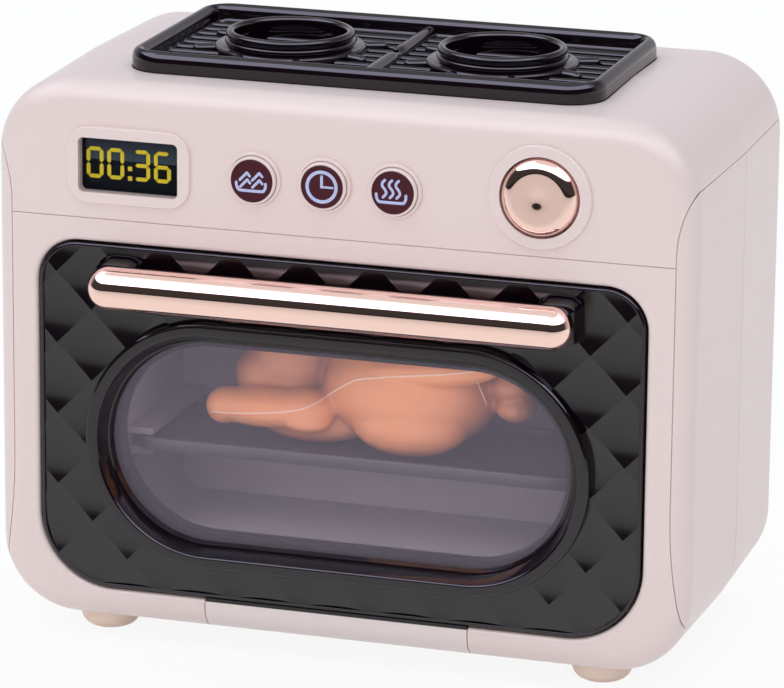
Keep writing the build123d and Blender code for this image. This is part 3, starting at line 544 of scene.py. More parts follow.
def seam_lip(name, path, closed=False):
    """A thin strip under a seam; the path is a list of places and outward directions in millimetres."""
    rows, count = [], len(path)
    corners = [(lip_under, -lip_half), (lip_under, lip_half), (lip_rear, lip_half), (lip_rear, -lip_half)]
    for i, (place, outward) in enumerate(path):
        ahead = path[(i + 1) % count][0] if closed or i < count - 1 else place
        behind = path[i - 1][0] if closed or i else place
        outward = Vector(outward).normalized()
        side = (Vector(ahead) - Vector(behind)).cross(outward).normalized()
        rows.append([(Vector(place) - outward * deep + side * wide) * MM for deep, wide in corners])
    points = [corner for row in rows for corner in row]
    faces = loop_faces(count, 4, closed_loop=closed)
    if not closed:
        faces += [(0, 1, 2, 3), tuple(reversed(range(4 * count - 4, 4 * count)))]
    return face_outward(piece(name, points, faces, cream, "case", smooth=False))


print("the case is", round(2 * side_at(widest_y, case_mid_z), 1), "mm wide at its widest")

# %% [markdown]
# These seams need a strip: the two upright ones beside the door, which bow outward at both ends, the groove
# over the door, the seam along the sides and the back, and the crease where the case's two halves meet.


# %% Strips under the seams
seam_half, low_bow_z, low_bow_radius, high_bow_z, high_bow_radius = 100.1, 57, 160, 133, 36


def seam_x(z):
    """Half width between the two upright seams, which bow outward at both ends."""
    if z < low_bow_z:
        return seam_half + low_bow_radius - math.sqrt(low_bow_radius**2 - (z - low_bow_z) ** 2)
    return seam_half + high_bow_radius - math.sqrt(high_bow_radius**2 - max(z - high_bow_z, 0) ** 2)


def front_spot(x, z):
    """A place on the front surface with its outward direction."""
    step = 0.05
    slope_x = (depth_at(x + step, z) - depth_at(x - step, z)) / (2 * step)
    slope_z = (depth_at(x, z + step) - depth_at(x, z - step)) / (2 * step)
    return (x, depth_at(x, z), z), (slope_x, -1, slope_z)


side_z, groove_z, groove_half, side_start, inside_edge = 151.2, 129.9, 100, -41.5, 1.6
heights = [side_z * i / 100 for i in range(101)]
heights = [z for z in heights if inset_at(seam_x(z), z) > inside_edge]
for side_name, sign in (("left", -1), ("right", 1)):
    seam_lip(f"upright_seam_lip_{side_name}", [front_spot(sign * seam_x(z), z) for z in heights])
seam_lip("groove_lip", [front_spot(-groove_half + 2 * groove_half * i / 60, groove_z) for i in range(61)])
along = [side_start + (case_back - side_start) * (1 - (1 - i / 80) ** 2) for i in range(81)]
side_path = []
for y in along:
    lean = (edge_inset(y + 0.05) - edge_inset(y - 0.05)) / 0.1 if y < case_back - 0.05 else 40
    side_path.append(((side_at(y, side_z), y, side_z), (1, lean, 0)))
other_side = [((-x, y, z), (-nx, ny, nz)) for (x, y, z), (nx, ny, nz) in reversed(side_path)]
seam_lip("side_seam_lip", side_path + other_side)
crease_path = []
for x, z, start in ((1, 1, 0), (-1, 1, 90), (-1, -1, 180), (1, -1, 270)):
    mid_x, mid_z = x * (case_half_x - case_corner), case_mid_z + z * (case_half_z - case_corner)
    for i in range(13):
        turn = math.radians(start + 90 * i / 12)
        nx, nz = math.cos(turn), math.sin(turn)
        crease_path.append(((mid_x + case_corner * nx, widest_y, mid_z + case_corner * nz), (nx, 0, nz)))
seam_lip("crease_lip", crease_path, closed=True)
print("lips follow", len(side_path), "places along the side")

# %% [markdown]
# ## Rim, window ring and posts
# These are profiles carried round a loop. The rim gives the door its rounded edge, the ring stands out in
# front of the quilt with a flat band between a rounded outer lip and a sloped inner wall.


# %% Carry a profile round the door and the window
def carried(name, loop, profile, finish, body, sharp=38):
    """A closed profile of (outward, depth) pairs carried round a closed loop."""
    points = [(x + nx * out, front_y + deep, z + nz * out) for x, z, nx, nz in loop for out, deep in profile]
    faces = loop_faces(len(loop), len(profile))
    return crease(face_outward(piece(name, points, faces, finish, body)), sharp)


def rounded(out, deep, radius, start, end, steps=8):
    """Part of a rounded edge of a profile, angles in degrees from outward to the front."""
    turns = [math.radians(start + (end - start) * i / steps) for i in range(steps + 1)]
    return [(out + radius * math.cos(t), deep - radius * math.sin(t)) for t in turns]


edge, inner_bead = 0.8 * MM, 0.25 * MM
rim_profile = [(0, skin_depth)] + rounded(-edge, edge, edge, 0, 90)
rim_profile += rounded(-rim_width + inner_bead, inner_bead, inner_bead, 90, 180, 4) + [(-rim_width, skin_depth)]
carried("door_rim", door_loop(0), rim_profile, piano_black, "door")

rise = 3.0 * MM
inner_lip, outer_lip, inner_top = 0.9 * MM, 1.1 * MM, 3.1 * MM
ring_profile = [(0, skin_depth), (0.7 * MM, 1.4 * MM), (1.2 * MM, 1.2 * MM), (inner_top, inner_lip - rise)]
ring_profile += rounded(inner_top + inner_lip, inner_lip - rise, inner_lip, 160, 90, 6)
ring_profile += rounded(ring_out - outer_lip, outer_lip - rise, outer_lip, 90, 0)
ring_profile += [(ring_out, skin_depth)]
ring = carried("window_ring", window_loop(0), ring_profile, piano_black, "door")
print("window ring", len(ring.data.polygons), "faces")

# %% [markdown]
# The posts and the bar are lofts: a stack of closed outlines that are skinned one after the other and
# closed at both ends. A post is a short stadium with its ends cut off, and it narrows towards the bar.


# %% Posts
def lofted(name, rows, finish, body, stands_for=None, sharp=38):
    """Skin closed loops of equal length one after the other and close both ends."""
    width = len(rows[0])
    points = [point for row in rows for point in row]
    faces = loop_faces(len(rows), width, closed_loop=False)
    faces += [tuple(range(width)), tuple(reversed(range(len(points) - width, len(points))))]
    made = face_outward(piece(name, points, faces, finish, body, stands_for))
    return crease(made, sharp)


post_half, post_half_width, post_half_height, post_lift = 6.6 * MM, 9 * MM, 7.1 * MM, 0.3 * MM


def post(name, middle_x):
    """A post from the door's face to the bar, a little narrower at the bar."""
    rows = []
    for deep, shrink in ((1.0, 0), (-0.6, 0), (-1.0, 0.25), (-5.6, 0.8), (-6.6, 1.1), (-7.0, 2.0)):
        half = post_half - shrink * MM
        loop = stadium(post_half_width - shrink * MM, post_half_height - shrink * MM, 20, 4)
        rows.append([(max(-half, min(half, x)) + middle_x, front_y + deep * MM, z + bar_mid_z + post_lift)
                     for x, z, *_ in loop])
    return lofted(name, rows, piano_black, "door")


post("handle_post_left", -66 * MM)
post("handle_post_right", 67 * MM)
print("posts rise to", round((bar_mid_z + post_lift + post_half_height) / MM, 1), "mm")

# %% [markdown]
# ## Plated bar
# The bar is a stack of stadium outlines that shrink towards its front and its back along a round arc. With
# enough outlines the plating shows one clean dark line under one clean highlight.

# %% Handle bar
bar_half_length = (bar_high.x - bar_low.x) / 2
bar_half_height = (bar_high.z - bar_low.z) / 2
bar_rows = []
front_radius, rear_radius = bar_half_height - 0.15 * MM, 3.4 * MM
front_mid, rear_mid = bar_low.y + front_radius, bar_high.y - rear_radius
for radius, middle, start, end in ((front_radius, front_mid, -90, 0), (rear_radius, rear_mid, 0, 90)):
    for i in range(25):
        turn = math.radians(start + (end - start) * i / 24)
        deep, inset = middle + radius * math.sin(turn), radius * (1 - math.cos(turn))
        loop = stadium(bar_half_length - inset, bar_half_height - inset, 36, 60)
        bar_rows.append([(x, deep, z + bar_mid_z) for x, z, *_ in loop])
handle = lofted("plated_bar", bar_rows, rose_plating, "door", "handle_bar", 45)
print("bar", len(handle.data.polygons))


# %% [markdown]
# ## Start button
# A turned shape: an almost flat middle with a faint dimple, and a round shoulder.

# %% Turned pieces
def turned(name, middle, profile, finish, body, stands_for=None, steps=96, sharp=45):
    """Turn a profile of (radius, depth) pairs about an axis that points to the front; ends on the axis."""
    turns = [2 * math.pi * i / steps for i in range(steps)]
    points = [(middle[0] + radius * math.cos(turn), front_y + deep, middle[1] + radius * math.sin(turn))
              for radius, deep in profile for turn in turns]
    faces = loop_faces(len(profile), steps, closed_loop=False)
    made = face_outward(piece(name, points, faces, finish, body, stands_for))
    return crease(made, sharp)


start_low, start_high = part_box("start_button")
start_mid = ((start_low.x + start_high.x) / 2, (start_low.z + start_high.z) / 2)
start_out, shoulder, start_rise = 11.6 * MM, 4.2 * MM, 3.6 * MM
dimple_depth, dimple_radius = 0.22 * MM, 2.6 * MM
flat = start_out - shoulder
start_profile = [(0, -start_rise + dimple_depth)]
for i in range(1, 16):
    radius = flat * i / 15
    start_profile.append((radius, -start_rise + dimple_depth * math.exp(-((radius / dimple_radius) ** 2))))
for i in range(1, 19):
    turn = math.radians(82 * i / 18)
    start_profile.append((flat + shoulder * math.sin(turn), -start_rise + shoulder * (1 - math.cos(turn))))
start_profile += [(start_out, start_high.y - front_y), (0, start_high.y - front_y)]
turned("plated_start_button", start_mid, start_profile, rose_plating, "start_button", "start_button")
print("start button", [round(v / MM, 1) for v in start_mid])


# %% [markdown]
# ## Toy hob
# The hob is a black tray with a fat rounded rim. Its floor has low rounded ribs, a round bar crosses it from
# front to back, and two burner rings stand on wide flanges with short round pegs around them. Polished black
# plastic shows its shape only by its highlights, so every edge here is a real rounding that can catch one.

# %% Hob rim
hob_low, hob_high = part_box("hob_plate")
hob_mid = ((hob_low.x + hob_high.x) / 2, (hob_low.y + hob_high.y) / 2)
hob_half = ((hob_high.x - hob_low.x) / 2, (hob_high.y - hob_low.y) / 2)
hob_corner, rim_top, floor_top = 11 * MM, hob_high.z - 1.6 * MM, hob_low.z + 1.6 * MM
hob_points, hob_faces = [], []


def add_shell(points, faces):
    """Add one closed shell to the hob's lists."""
    shift = len(hob_points)
    hob_points.extend(points)
    hob_faces.extend([tuple(shift + k for k in face) for face in faces])


def hob_loop(inset, z, steps=12):
    """A rounded rectangle inside the hob's outline."""
    radius = hob_corner - 1.5 * inset
    loop = []
    for x, y, start in ((1, 1, 0), (-1, 1, 90), (-1, -1, 180), (1, -1, 270)):
        middle = (hob_mid[0] + x * (hob_half[0] - inset - radius), hob_mid[1] + y * (hob_half[1] - inset - radius))
        for i in range(steps + 1):
            turn = math.radians(start + 90 * i / steps)
            loop.append((middle[0] + radius * math.cos(turn), middle[1] + radius * math.sin(turn), z))
    return loop


rim_out, rim_in, rim_drop = 2.6 * MM, 2.2 * MM, 3.0 * MM
rim_section = [(0.4 * MM, hob_low.z), (0, hob_low.z + 1.6 * MM)]
for i in range(17):
    turn = math.radians(90 * i / 16)
    rim_section.append((rim_out * (1 - math.cos(turn)), rim_top - rim_drop * (1 - math.sin(turn))))
for i in range(1, 15):
    turn = math.radians(90 + 90 * i / 14)
    rim_section.append((rim_out - rim_in * math.cos(turn), rim_top - rim_drop * (1 - math.sin(turn))))
rim_section += [(rim_out + rim_in + 0.2 * MM, floor_top + 0.6 * MM), (rim_out + rim_in + 0.8 * MM, floor_top)]
rim_rows = [hob_loop(inset, z) for inset, z in rim_section]
width = len(rim_rows[0])
add_shell([p for row in rim_rows for p in row], loop_faces(len(rim_rows), width, closed_loop=False)
          + [tuple(range(width)), tuple(range(width * (len(rim_rows) - 1), width * len(rim_rows)))])
print("hob rim", len(hob_faces), "faces")

# %% [markdown]
# Ribs, the bar and the pegs are all rods with domed ends, so one function makes them: a row of rings whose
# size follows a list, skinned and closed at both ends.


# %% Rods on the hob
def rod(start, end, radii, squash=1.0, around=20):
    """A closed rod between two places; radii are (share of the way, radius), squash flattens it in height."""
    start, end = Vector(start), Vector(end)
    along = (end - start).normalized()
    side = along.cross(Vector((0, 0, 1))).normalized()
    rise = side.cross(along)
    points = []
    for share, radius in radii:
        middle = start.lerp(end, share)
        for k in range(around):
            turn = 2 * math.pi * k / around
            points.append(middle + side * radius * math.cos(turn) + rise * radius * squash * math.sin(turn))
    count = len(radii)
    faces = loop_faces(count, around, closed_loop=False)
    return points, faces + [tuple(range(around)), tuple(range(around * (count - 1), around * count))]


def domed(radius, length, steps=6):
    """Rings of a rod with round ends."""
    dome = [(radius * (1 - math.cos(math.radians(a))) / length, radius * math.sin(math.radians(a)))
            for a in [8 + 82 * i / steps for i in range(steps + 1)]]
    return dome + [(1 - share, size) for share, size in reversed(dome)]


slat_pitch, slat_count, slat_rise, slat_half = 6.4 * MM, 9, 1.1 * MM, 1.0 * MM
inner_half = (hob_half[0] - 4.4 * MM, hob_half[1] - 4.4 * MM)
for i in range(slat_count):
    y = hob_mid[1] + (i - (slat_count - 1) / 2) * slat_pitch
    add_shell(*rod((hob_mid[0] - inner_half[0], y, floor_top), (hob_mid[0] + inner_half[0], y, floor_top),
                   domed(slat_half, 2 * inner_half[0]), squash=slat_rise / slat_half))
spine = 2.3 * MM
pinch = [(i / 40, spine * (1 - 0.3 * math.exp(-(((i - 20) / 1.6) ** 2)))) for i in range(41)]
add_shell(*rod((hob_mid[0], hob_mid[1] - inner_half[1], floor_top + 0.8 * MM),
               (hob_mid[0], hob_mid[1] + inner_half[1], floor_top + 0.8 * MM), pinch))
knob = Vector((hob_mid[0], hob_mid[1], floor_top + 0.8 * MM + 0.8 * spine))
add_shell(*rod(knob - Vector((0, 0.95 * MM, 0)), knob + Vector((0, 0.95 * MM, 0)), domed(0.95 * MM, 1.9 * MM)))

# %% [markdown]
# A burner is one section turned round an upright axis: the ring with its rolled lip and a bead round its
# foot, and the wide low flange. Each rolled edge is an arc, so one helper gives the arcs of the section.


# %% Burner rings and pegs
def section_arc(mid, radius, start, end):
    """Points of an arc of a section every 15 degrees; mid is (out, up), angles in degrees, downwards."""
    return [(mid[0] + radius * math.cos(math.radians(a)), mid[1] + radius * math.sin(math.radians(a)))
            for a in range(start, end - 1, -15)]


burner_spacing, flange_radius, ring_radius, ring_wall = 65.4 * MM, 22.5 * MM, 19.5 * MM, 3.0 * MM
ring_height, flange_height, sunk = hob_high.z - floor_top, 2.4 * MM, 0.4 * MM
lip_round, bead_round, flange_round = 1.3 * MM, 0.75 * MM, 0.8 * MM
burner = [(ring_radius - ring_wall, -sunk)]
burner += section_arc((ring_radius - ring_wall + lip_round, ring_height - lip_round), lip_round, 180, -60)
burner += section_arc((ring_radius - bead_round, flange_height + 1.0 * MM), bead_round, 75, -60)
burner.append((ring_radius + 0.15 * MM, flange_height))
burner += section_arc((flange_radius - flange_round, flange_height - flange_round), flange_round, 90, 0)
burner.append((flange_radius + 0.3 * MM, -sunk))
peg_radius, peg_near, peg_far = 1.55 * MM, 21.4 * MM, 29.0 * MM
for side_sign in (-1, 1):
    middle = Vector((hob_mid[0] + side_sign * burner_spacing / 2, hob_mid[1], floor_top))
    around = 120
    points = [middle + Vector((r * math.cos(2 * math.pi * k / around), r * math.sin(2 * math.pi * k / around), z))
              for k in range(around) for r, z in burner]
    add_shell(points, loop_faces(around, len(burner)))
    for k in range(8):
        turn = math.radians(45 * (k + 0.5))
        heading = Vector((math.cos(turn), math.sin(turn), 0))
        lift = Vector((0, 0, slat_rise))
        add_shell(*rod(middle + lift + heading * peg_near, middle + lift + heading * peg_far,
                       domed(peg_radius, peg_far - peg_near)))
hob = piece("rounded_hob", hob_points, hob_faces, piano_black, "case", "hob_plate")
crease(face_outward(hob), 50)
print("hob", len(hob.data.polygons), "faces")

# %% [markdown]
# ## Printed marks
# The digits are seven-bar figures, each bar a thin plate with pointed ends. The icons are flat strokes with
# round ends. Both lie a hair in front of the face that they are printed on.

# %% Plates and strokes
def plate(name, outline, near, far, finish, body):
    """Extrude a flat outline of (x, z) points in millimetres between two depths in metres."""
    width = len(outline)
    points = [(x * MM, y, z * MM) for y in (near, far) for x, z in outline]
    faces = loop_faces(2, width, closed_loop=False)
    faces += [tuple(range(width)), tuple(reversed(range(width, 2 * width)))]
    return face_outward(piece(name, points, faces, finish, body, smooth=False))


def bar_outline(start, end, width):
    """Outline of a bar with pointed ends between two places."""
    along = Vector(end) - Vector(start)
    along.normalize()
    side = Vector((-along.y, along.x)) * width / 2
    tip = along * width / 2
    a, b = Vector(start), Vector(end)
    return [tuple(p) for p in (a, a + tip + side, b - tip + side, b, b - tip - side, a + tip - side)]


digit_width, digit_height, bar_width = 5.2, 9.3, 1.15
lit_bars = {"0": "abcdef", "3": "abcdg", "6": "acdefg"}


def digit_bars(figure, left, top):
    """Start and end of each lit bar of a figure, in millimetres."""
    x0, x1 = left + bar_width / 2, left + digit_width - bar_width / 2
    z0, z2 = top - bar_width / 2, top - digit_height + bar_width / 2
    z1 = (z0 + z2) / 2
    gap = 0.1
    bars = {
        "a": ((x0 + gap, z0), (x1 - gap, z0)), "b": ((x1, z0 - gap), (x1, z1 + gap)),
        "c": ((x1, z1 - gap), (x1, z2 + gap)), "d": ((x0 + gap, z2), (x1 - gap, z2)),
        "e": ((x0, z1 - gap), (x0, z2 + gap)), "f": ((x0, z0 - gap), (x0, z1 + gap)),
        "g": ((x0 + gap, z1), (x1 - gap, z1)),
    }
    return [bars[key] for key in lit_bars[figure]]


digit_near, digit_far = face_low.y - 0.12 * MM, face_low.y + 0.05 * MM


def lit_plate(name, outline):
    """One lit mark, a hair in front of the clock's face."""
    return plate(name, outline, digit_near, digit_far, segment_yellow, "case")


digit_top, colon_x, dot_half = 150.75, -64.1, 0.65
for place, (figure, left) in enumerate((("0", -77.5), ("0", -71.1), ("3", -63.1), ("6", -56.7)), 1):
    for number, (start, end) in enumerate(digit_bars(figure, left, digit_top), 1):
        lit_plate(f"digit_{place}_bar_{number}", bar_outline(start, end, bar_width))
for number, z in enumerate((digit_top - 5.8, digit_top - 8.7), 1):
    outline = [(colon_x + x * dot_half, z + y * dot_half) for x, y in ((-1, -1), (1, -1), (1, 1), (-1, 1))]
    lit_plate(f"colon_dot_{number}", outline)
print("digits stand", round((face_low.y - digit_near) / MM, 2), "mm in front of the display")

# %% [markdown]
# An icon is a few strokes of ink. A stroke follows a smooth curve through a few knots, is flat as ink is,
# and ends round. The three icons are plain signs of any oven: a grill pattern, a clock and rising steam.


# %% Icon strokes
def smooth_path(knots, steps=6):
    """Points on a smooth curve through the knots."""
    knots = [Vector(k) for k in knots]
    padded = [2 * knots[0] - knots[1]] + knots + [2 * knots[-1] - knots[-2]]
    path = []
    for p0, p1, p2, p3 in zip(padded, padded[1:], padded[2:], padded[3:]):
        for i in range(steps):
            t = i / steps
            path.append(
                0.5 * (2 * p1 + (p2 - p0) * t + (2 * p0 - 5 * p1 + 4 * p2 - p3) * t**2
                       + (3 * p1 - p0 - 3 * p2 + p3) * t**3)
            )
    return path + [knots[-1]]


def stroke(name, middle, near, path, width, body):
    """A flat round-ended stroke along a path of (x, z) points in millimetres about a middle."""
    around, thick = 12, 0.12 * MM
    rows = []
    count = len(path)
    for i, here in enumerate(path):
        along = (path[min(i + 1, count - 1)] - path[max(i - 1, 0)]).normalized()
        side = Vector((-along.y, along.x))
        if i in (0, count - 1):
            ends = [(math.radians(a), math.cos(math.radians(a))) for a in (80, 55, 30)]
            caps = [(here + along * (-1 if i == 0 else 1) * width / 2 * math.sin(a), c) for a, c in ends]
            stops = caps + [(here, 1.0)] if i == 0 else [(here, 1.0)] + caps[::-1]
        else:
            stops = [(here, 1.0)]
        for at, scale in stops:
            row = []
            for k in range(around):
                turn = 2 * math.pi * k / around
                off = at + side * (width / 2 * scale * math.cos(turn))
                row.append((middle[0] + off.x * MM, near + thick * scale * math.sin(turn), middle[1] + off.y * MM))
            rows.append(row)
    return lofted(name, rows, icon_ink, body)


disc_mids = []
for number in (1, 2, 3):
    low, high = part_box(f"button_disc_{number}")
    disc_mids.append(((low.x + high.x) / 2, (low.z + high.z) / 2, low.y))
tray_mark = [(-4.55, -0.6), (-4.45, -1.6), (-3.9, -2.6), (-2.9, -2.85)]
tray_mark += [(2.9, -2.85), (3.8, -2.5), (4.25, -1.6), (4.3, -0.55)]
roof_mark = [(-1.05, -1.1), (1.05, 1.1), (1.9, 0.15)]
steam_mark = [(0.35, 2.75), (-0.4, 1.9), (-0.35, 0.9), (0.45, -0.1), (0.75, -1.1), (0.15, -1.95), (-0.2, -2.3)]


def mark(disc, name, knots, width, shift=(0, 0), curved=True):
    """Put one stroke of an icon on a button's disc."""
    x, z, near = disc_mids[disc - 1]
    path = smooth_path(knots) if curved else [Vector(k) for k in knots]
    path = [p + Vector(shift) for p in path]
    return stroke(f"icon_{disc}_{name}", (x, z), near, path, width, f"button_{disc}")


mark(1, "tray", tray_mark, 0.85)
for number, (x, z) in enumerate(((-2.4, 1.3), (1.35, 1.4), (-2.3, -0.75), (1.4, -0.7)), 1):
    a, b, c = [Vector(k) + Vector((x, z)) for k in roof_mark]
    mark(1, f"roof_{number}_left", [a, b], 0.8, curved=False)
    mark(1, f"roof_{number}_right", [b, c], 0.8, curved=False)
circle = [(4.35 * math.cos(math.radians(a)), 4.35 * math.sin(math.radians(a))) for a in range(0, 361, 5)]
mark(2, "ring", circle, 1.0, curved=False)
mark(2, "long_hand", [(0, 3.1), (0, 0)], 0.85, curved=False)
mark(2, "short_hand", [(0, 0), (3.3, 0)], 0.65, curved=False)
mark(3, "tray", tray_mark, 0.85, shift=(-0.25, 0))
for number, x in enumerate((-2.6, -0.5, 1.5), 1):
    mark(3, f"steam_{number}", steam_mark, 0.8, shift=(x, 0.85))
print("marks on", len(disc_mids), "discs")

# %% [markdown]
# ## Roast chicken
# The chicken starts as overlapping lumps: the body, the legs, a wing and the small swellings between them.
# Remeshing fuses them into one skin, and smoothing rounds the hollows where two lumps meet.


# %% Lumps
def lump(middle, size, tilt=0, lean=0, rings=24, sectors=36):
    """Points and faces of an ellipsoid in millimetres, turned about Y by tilt and about Z by lean."""
    turn = Matrix.Rotation(math.radians(lean), 3, "Z") @ Matrix.Rotation(math.radians(tilt), 3, "Y")
    points = []
    for i in range(rings + 1):
        fall = math.pi * i / rings
        for j in range(sectors):
            round_ = 2 * math.pi * j / sectors
            spot = Vector((size[0] * math.cos(fall), size[1] * math.sin(fall) * math.cos(round_),
                           size[2] * math.sin(fall) * math.sin(round_)))
            points.append((turn @ spot + Vector(middle)) * MM)
    return points, loop_faces(rings + 1, sectors, closed_loop=False)


lumps = [
    lump((10, -4.5, 75), (27.5, 20, 18.2)),
    lump((8, -2, 82), (25, 18, 14)),
    lump((-32, -17, 68.4), (18.5, 8, 6)),
    lump((-44.5, -17, 67.8), (5.8, 6.5, 5.6)),
    lump((-20, -16, 68.8), (10, 8, 6.2)),
    lump((-28.5, -3, 79), (13.8, 11, 16), tilt=6),
    lump((-35.5, -5.5, 75.5), (9.5, 9.5, 9), tilt=-25),
    lump((12, -13, 66), (18, 12, 9.4)),
    lump((-18, -19, 65.8), (7.5, 6, 3.4)),
    lump((-19, -8, 62.4), (17, 10, 5.5)),
    lump((20, -17.5, 84.5), (21, 7, 5), tilt=-5),
    lump((38, -14, 86.5), (4.5, 4, 3)),
    lump((43, -8, 73), (6.2, 6.5, 4.6)),
    lump((42, -8, 79.5), (6.6, 6.5, 5)),
]
chicken_points, chicken_faces = [], []
for points, faces in lumps:
    shift = len(chicken_points)
    chicken_points += points
    chicken_faces += [tuple(shift + k for k in face) for face in faces]
chicken = piece("roast_chicken", chicken_points, chicken_faces, chicken_skin, "chicken",
                "chicken_upper_shell")
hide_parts("chicken_lower_shell")
face_outward(chicken)
fuse = chicken.modifiers.new("fuse", "REMESH")
fuse.mode, fuse.voxel_size = "VOXEL", 0.7 * MM
soften = chicken.modifiers.new("soften", "SMOOTH")
soften.factor, soften.iterations = 0.6, 9
graph = bpy.context.evaluated_depsgraph_get()
sculpted = bpy.data.meshes.new_from_object(chicken.evaluated_get(graph))
chicken.modifiers.clear()
chicken.data = sculpted
for face in sculpted.polygons:
    face.use_smooth = True
spots = np.array([v.co for v in sculpted.vertices]) / MM
print("chicken", len(sculpted.polygons), spots.min(axis=0).round(1), spots.max(axis=0).round(1))

# %% [markdown]
# A pale line over the leg and the body is a painted highlight: a thin thread of pale vinyl colour that lies
# where the skin shines. Its path is given on an upright plane and laid onto the skin from a little above
# and to the right, so it follows every swelling.


# %% Painted highlight line
skin_tree = BVHTree.FromPolygons([v.co for v in sculpted.vertices], [tuple(p.vertices) for p in sculpted.polygons])
laid_along = Vector((-0.285, 0.92, -0.27)).normalized()
painted_highlight_finish = moulded("parting_line_vinyl", srgb(244, 206, 186), rough=0.45, drift=0.03)
painted_highlight_paths = {
    "front": [(-49.4, 66.4), (-43.7, 66.2), (-33.9, 67.0), (-26.0, 68.1), (-20.2, 69.4), (-15.3, 71.8),
              (-12.4, 74.0), (-8.5, 76.8), (-4.7, 79.2), (-1.8, 80.5), (9.8, 82.5), (19.4, 83.7), (27.0, 84.9),
              (33.7, 86.2)],
    "right": [(34.4, 83.4), (36.0, 79.8), (37.6, 76.2)],
}
for side_name, knots in painted_highlight_paths.items():
    thread = []
    for x, z in smooth_path(knots):
        start = Vector((x, -20, z)) * MM - laid_along * 0.06
        spot, outward, _, _ = skin_tree.ray_cast(start, laid_along)
        if spot is not None:
            thread.append((spot, outward))
    rows = []
    for i, (spot, outward) in enumerate(thread):
        along = (thread[min(i + 1, len(thread) - 1)][0] - thread[max(i - 1, 0)][0]).normalized()
        side = along.cross(outward).normalized()
        size = 0.24 * MM * (0.4 if i in (0, len(thread) - 1) else 1)
        rows.append([spot + side * size * math.cos(turn) + outward * size * math.sin(turn)
                     for turn in (2 * math.pi * k / 8 for k in range(8))])
    # each pale thread is a painted highlight along the skin's shine
    lofted(f"parting_line_{side_name}", rows, painted_highlight_finish, "chicken")
print("parting lines", len(painted_highlight_paths))

# %% [markdown]
# Deep inside the oven the vinyl lies in shade and looks browner. That shade is painted: a second colour that
# sets in with depth, so it stays the same under any light.

# %% Painted shade: browner skin towards the back
tree = chicken_skin.node_tree
shade_start_y, full_shade_y = -20 * MM, -9 * MM
depth = add_node(tree, "MapRange", {"Value": along_axis(tree, "Y"), "From Min": shade_start_y, "From Max": full_shade_y})
# painted shade: the browner colour stands for the shade deep inside the oven
recolour(chicken_skin, depth.outputs["Result"], (*srgb(176, 112, 88), 1))
print("the skin turns browner over", round((full_shade_y - shade_start_y) / MM, 1), "mm of depth")

# %% [markdown]
# ## Camera
# A long lens from far away keeps the oven's edges nearly parallel.

# %% Camera
lens_mm, sensor_mm = 230.4, 36.0
camera_place = Vector((428.13, -1374.07, 489.04)) * MM
camera_forward = Vector((-0.28526, 0.91977, -0.26955))
camera_right = Vector((0.95431, 0.29866, 0.00919))
camera_data = bpy.data.cameras.new("camera")
camera_data.lens = lens_mm
camera_data.sensor_width = sensor_mm
camera_data.sensor_fit = "HORIZONTAL"
camera = bpy.data.objects.new("camera", camera_data)
bpy.context.scene.collection.objects.link(camera)
bpy.context.scene.camera = camera
camera_up = camera_right.cross(camera_forward)
turn = Matrix((camera_right, camera_up, -camera_forward)).transposed()
camera.matrix_world = Matrix.Translation(camera_place) @ turn.to_4x4()
print("camera", [round(v, 3) for v in camera_place])

# %% [markdown]
# ## Studio
# The world is three things in one. Polished parts mirror a studio: a tall softbox in front, a dark wall
# behind. Everything else is lit by a soft, even sky. The camera itself, also through the window's sheet,
# sees plain white. Which one applies depends on the kind of ray that asks.


# %% World
def ramp(tree, source, low, high, steps):
    """A colour ramp over a range of one number; steps are (number, grey) or (number, colour)."""
    share = add_node(tree, "MapRange", {"Value": source, "From Min": low, "From Max": high})
    bands = add_node(tree, "ValToRGB", {"Fac": share.outputs["Result"]})
    while len(bands.color_ramp.elements) < len(steps):
        bands.color_ramp.elements.new(0.5)
    for element, (number, grey) in zip(bands.color_ramp.elements, steps):
        element.position = (number - low) / (high - low)
        element.color = (*(grey if isinstance(grey, tuple) else (grey,) * 3), 1)
    return bands.outputs["Color"]


world = bpy.data.worlds.new("studio")
bpy.context.scene.world = world
world.use_nodes = True
tree = world.node_tree
direction = add_node(tree, "TexCoord").outputs["Generated"]
heading = add_node(tree, "SeparateXYZ", {"Vector": direction}).outputs
softbox = (0.8, 0.78, 1.0)
mirrored_front = ramp(tree, heading["Z"], -1, 1, [
    (-1, 0.01), (0.49, 0.01), (0.51, softbox), (0.9, softbox), (0.93, 0.2), (1, 0.2),
])
mirrored_rear = ramp(tree, heading["Z"], -1, 1, [
    (-1, 0.2), (0.0, 0.16), (0.35, (0.13, 0.12, 0.14)), (0.6, 0.06), (0.8, 0.12), (1, 0.2),
])
behind = ramp(tree, heading["Y"], -1, 1, [(-0.1, 0.0), (0.35, 1.0)])
mirrored = add_node(tree, "Mix", {"Factor": behind, "A": mirrored_front, "B": mirrored_rear}, data_type="RGBA")
soft_sky = ramp(tree, heading["Z"], -1, 1, [
    (-1, 0.11), (0.0, (0.106, 0.099, 0.096)), (0.45, (0.118, 0.116, 0.114)), (0.75, (0.22, 0.24, 0.26)),
    (1, (0.30, 0.35, 0.40)),
])
sideways = ramp(tree, heading["X"], -1, 1, [(-1, 1.0), (0.1, 1.0), (1, (0.80, 0.78, 0.77))])
shaded_sky = add_node(
    tree, "Mix", {"Factor": 1.0, "A": soft_sky, "B": sideways}, data_type="RGBA", blend_type="MULTIPLY"
)
ray = add_node(tree, "LightPath").outputs
studio = add_node(tree, "Mix", {
    "Factor": ray["Is Glossy Ray"], "A": shaded_sky.outputs["Result"], "B": mirrored.outputs["Result"],
}, data_type="RGBA")
backdrop = tree.nodes["Background"]
tree.links.new(studio.outputs["Result"], backdrop.inputs["Color"])
backdrop.inputs["Strength"].default_value = 4.5
white = add_node(tree, "Background", {"Color": (1, 1, 1, 1)})
seen_white = add_node(tree, "Math", {0: ray["Is Camera Ray"], 1: ray["Is Transmission Ray"]}, operation="MAXIMUM")
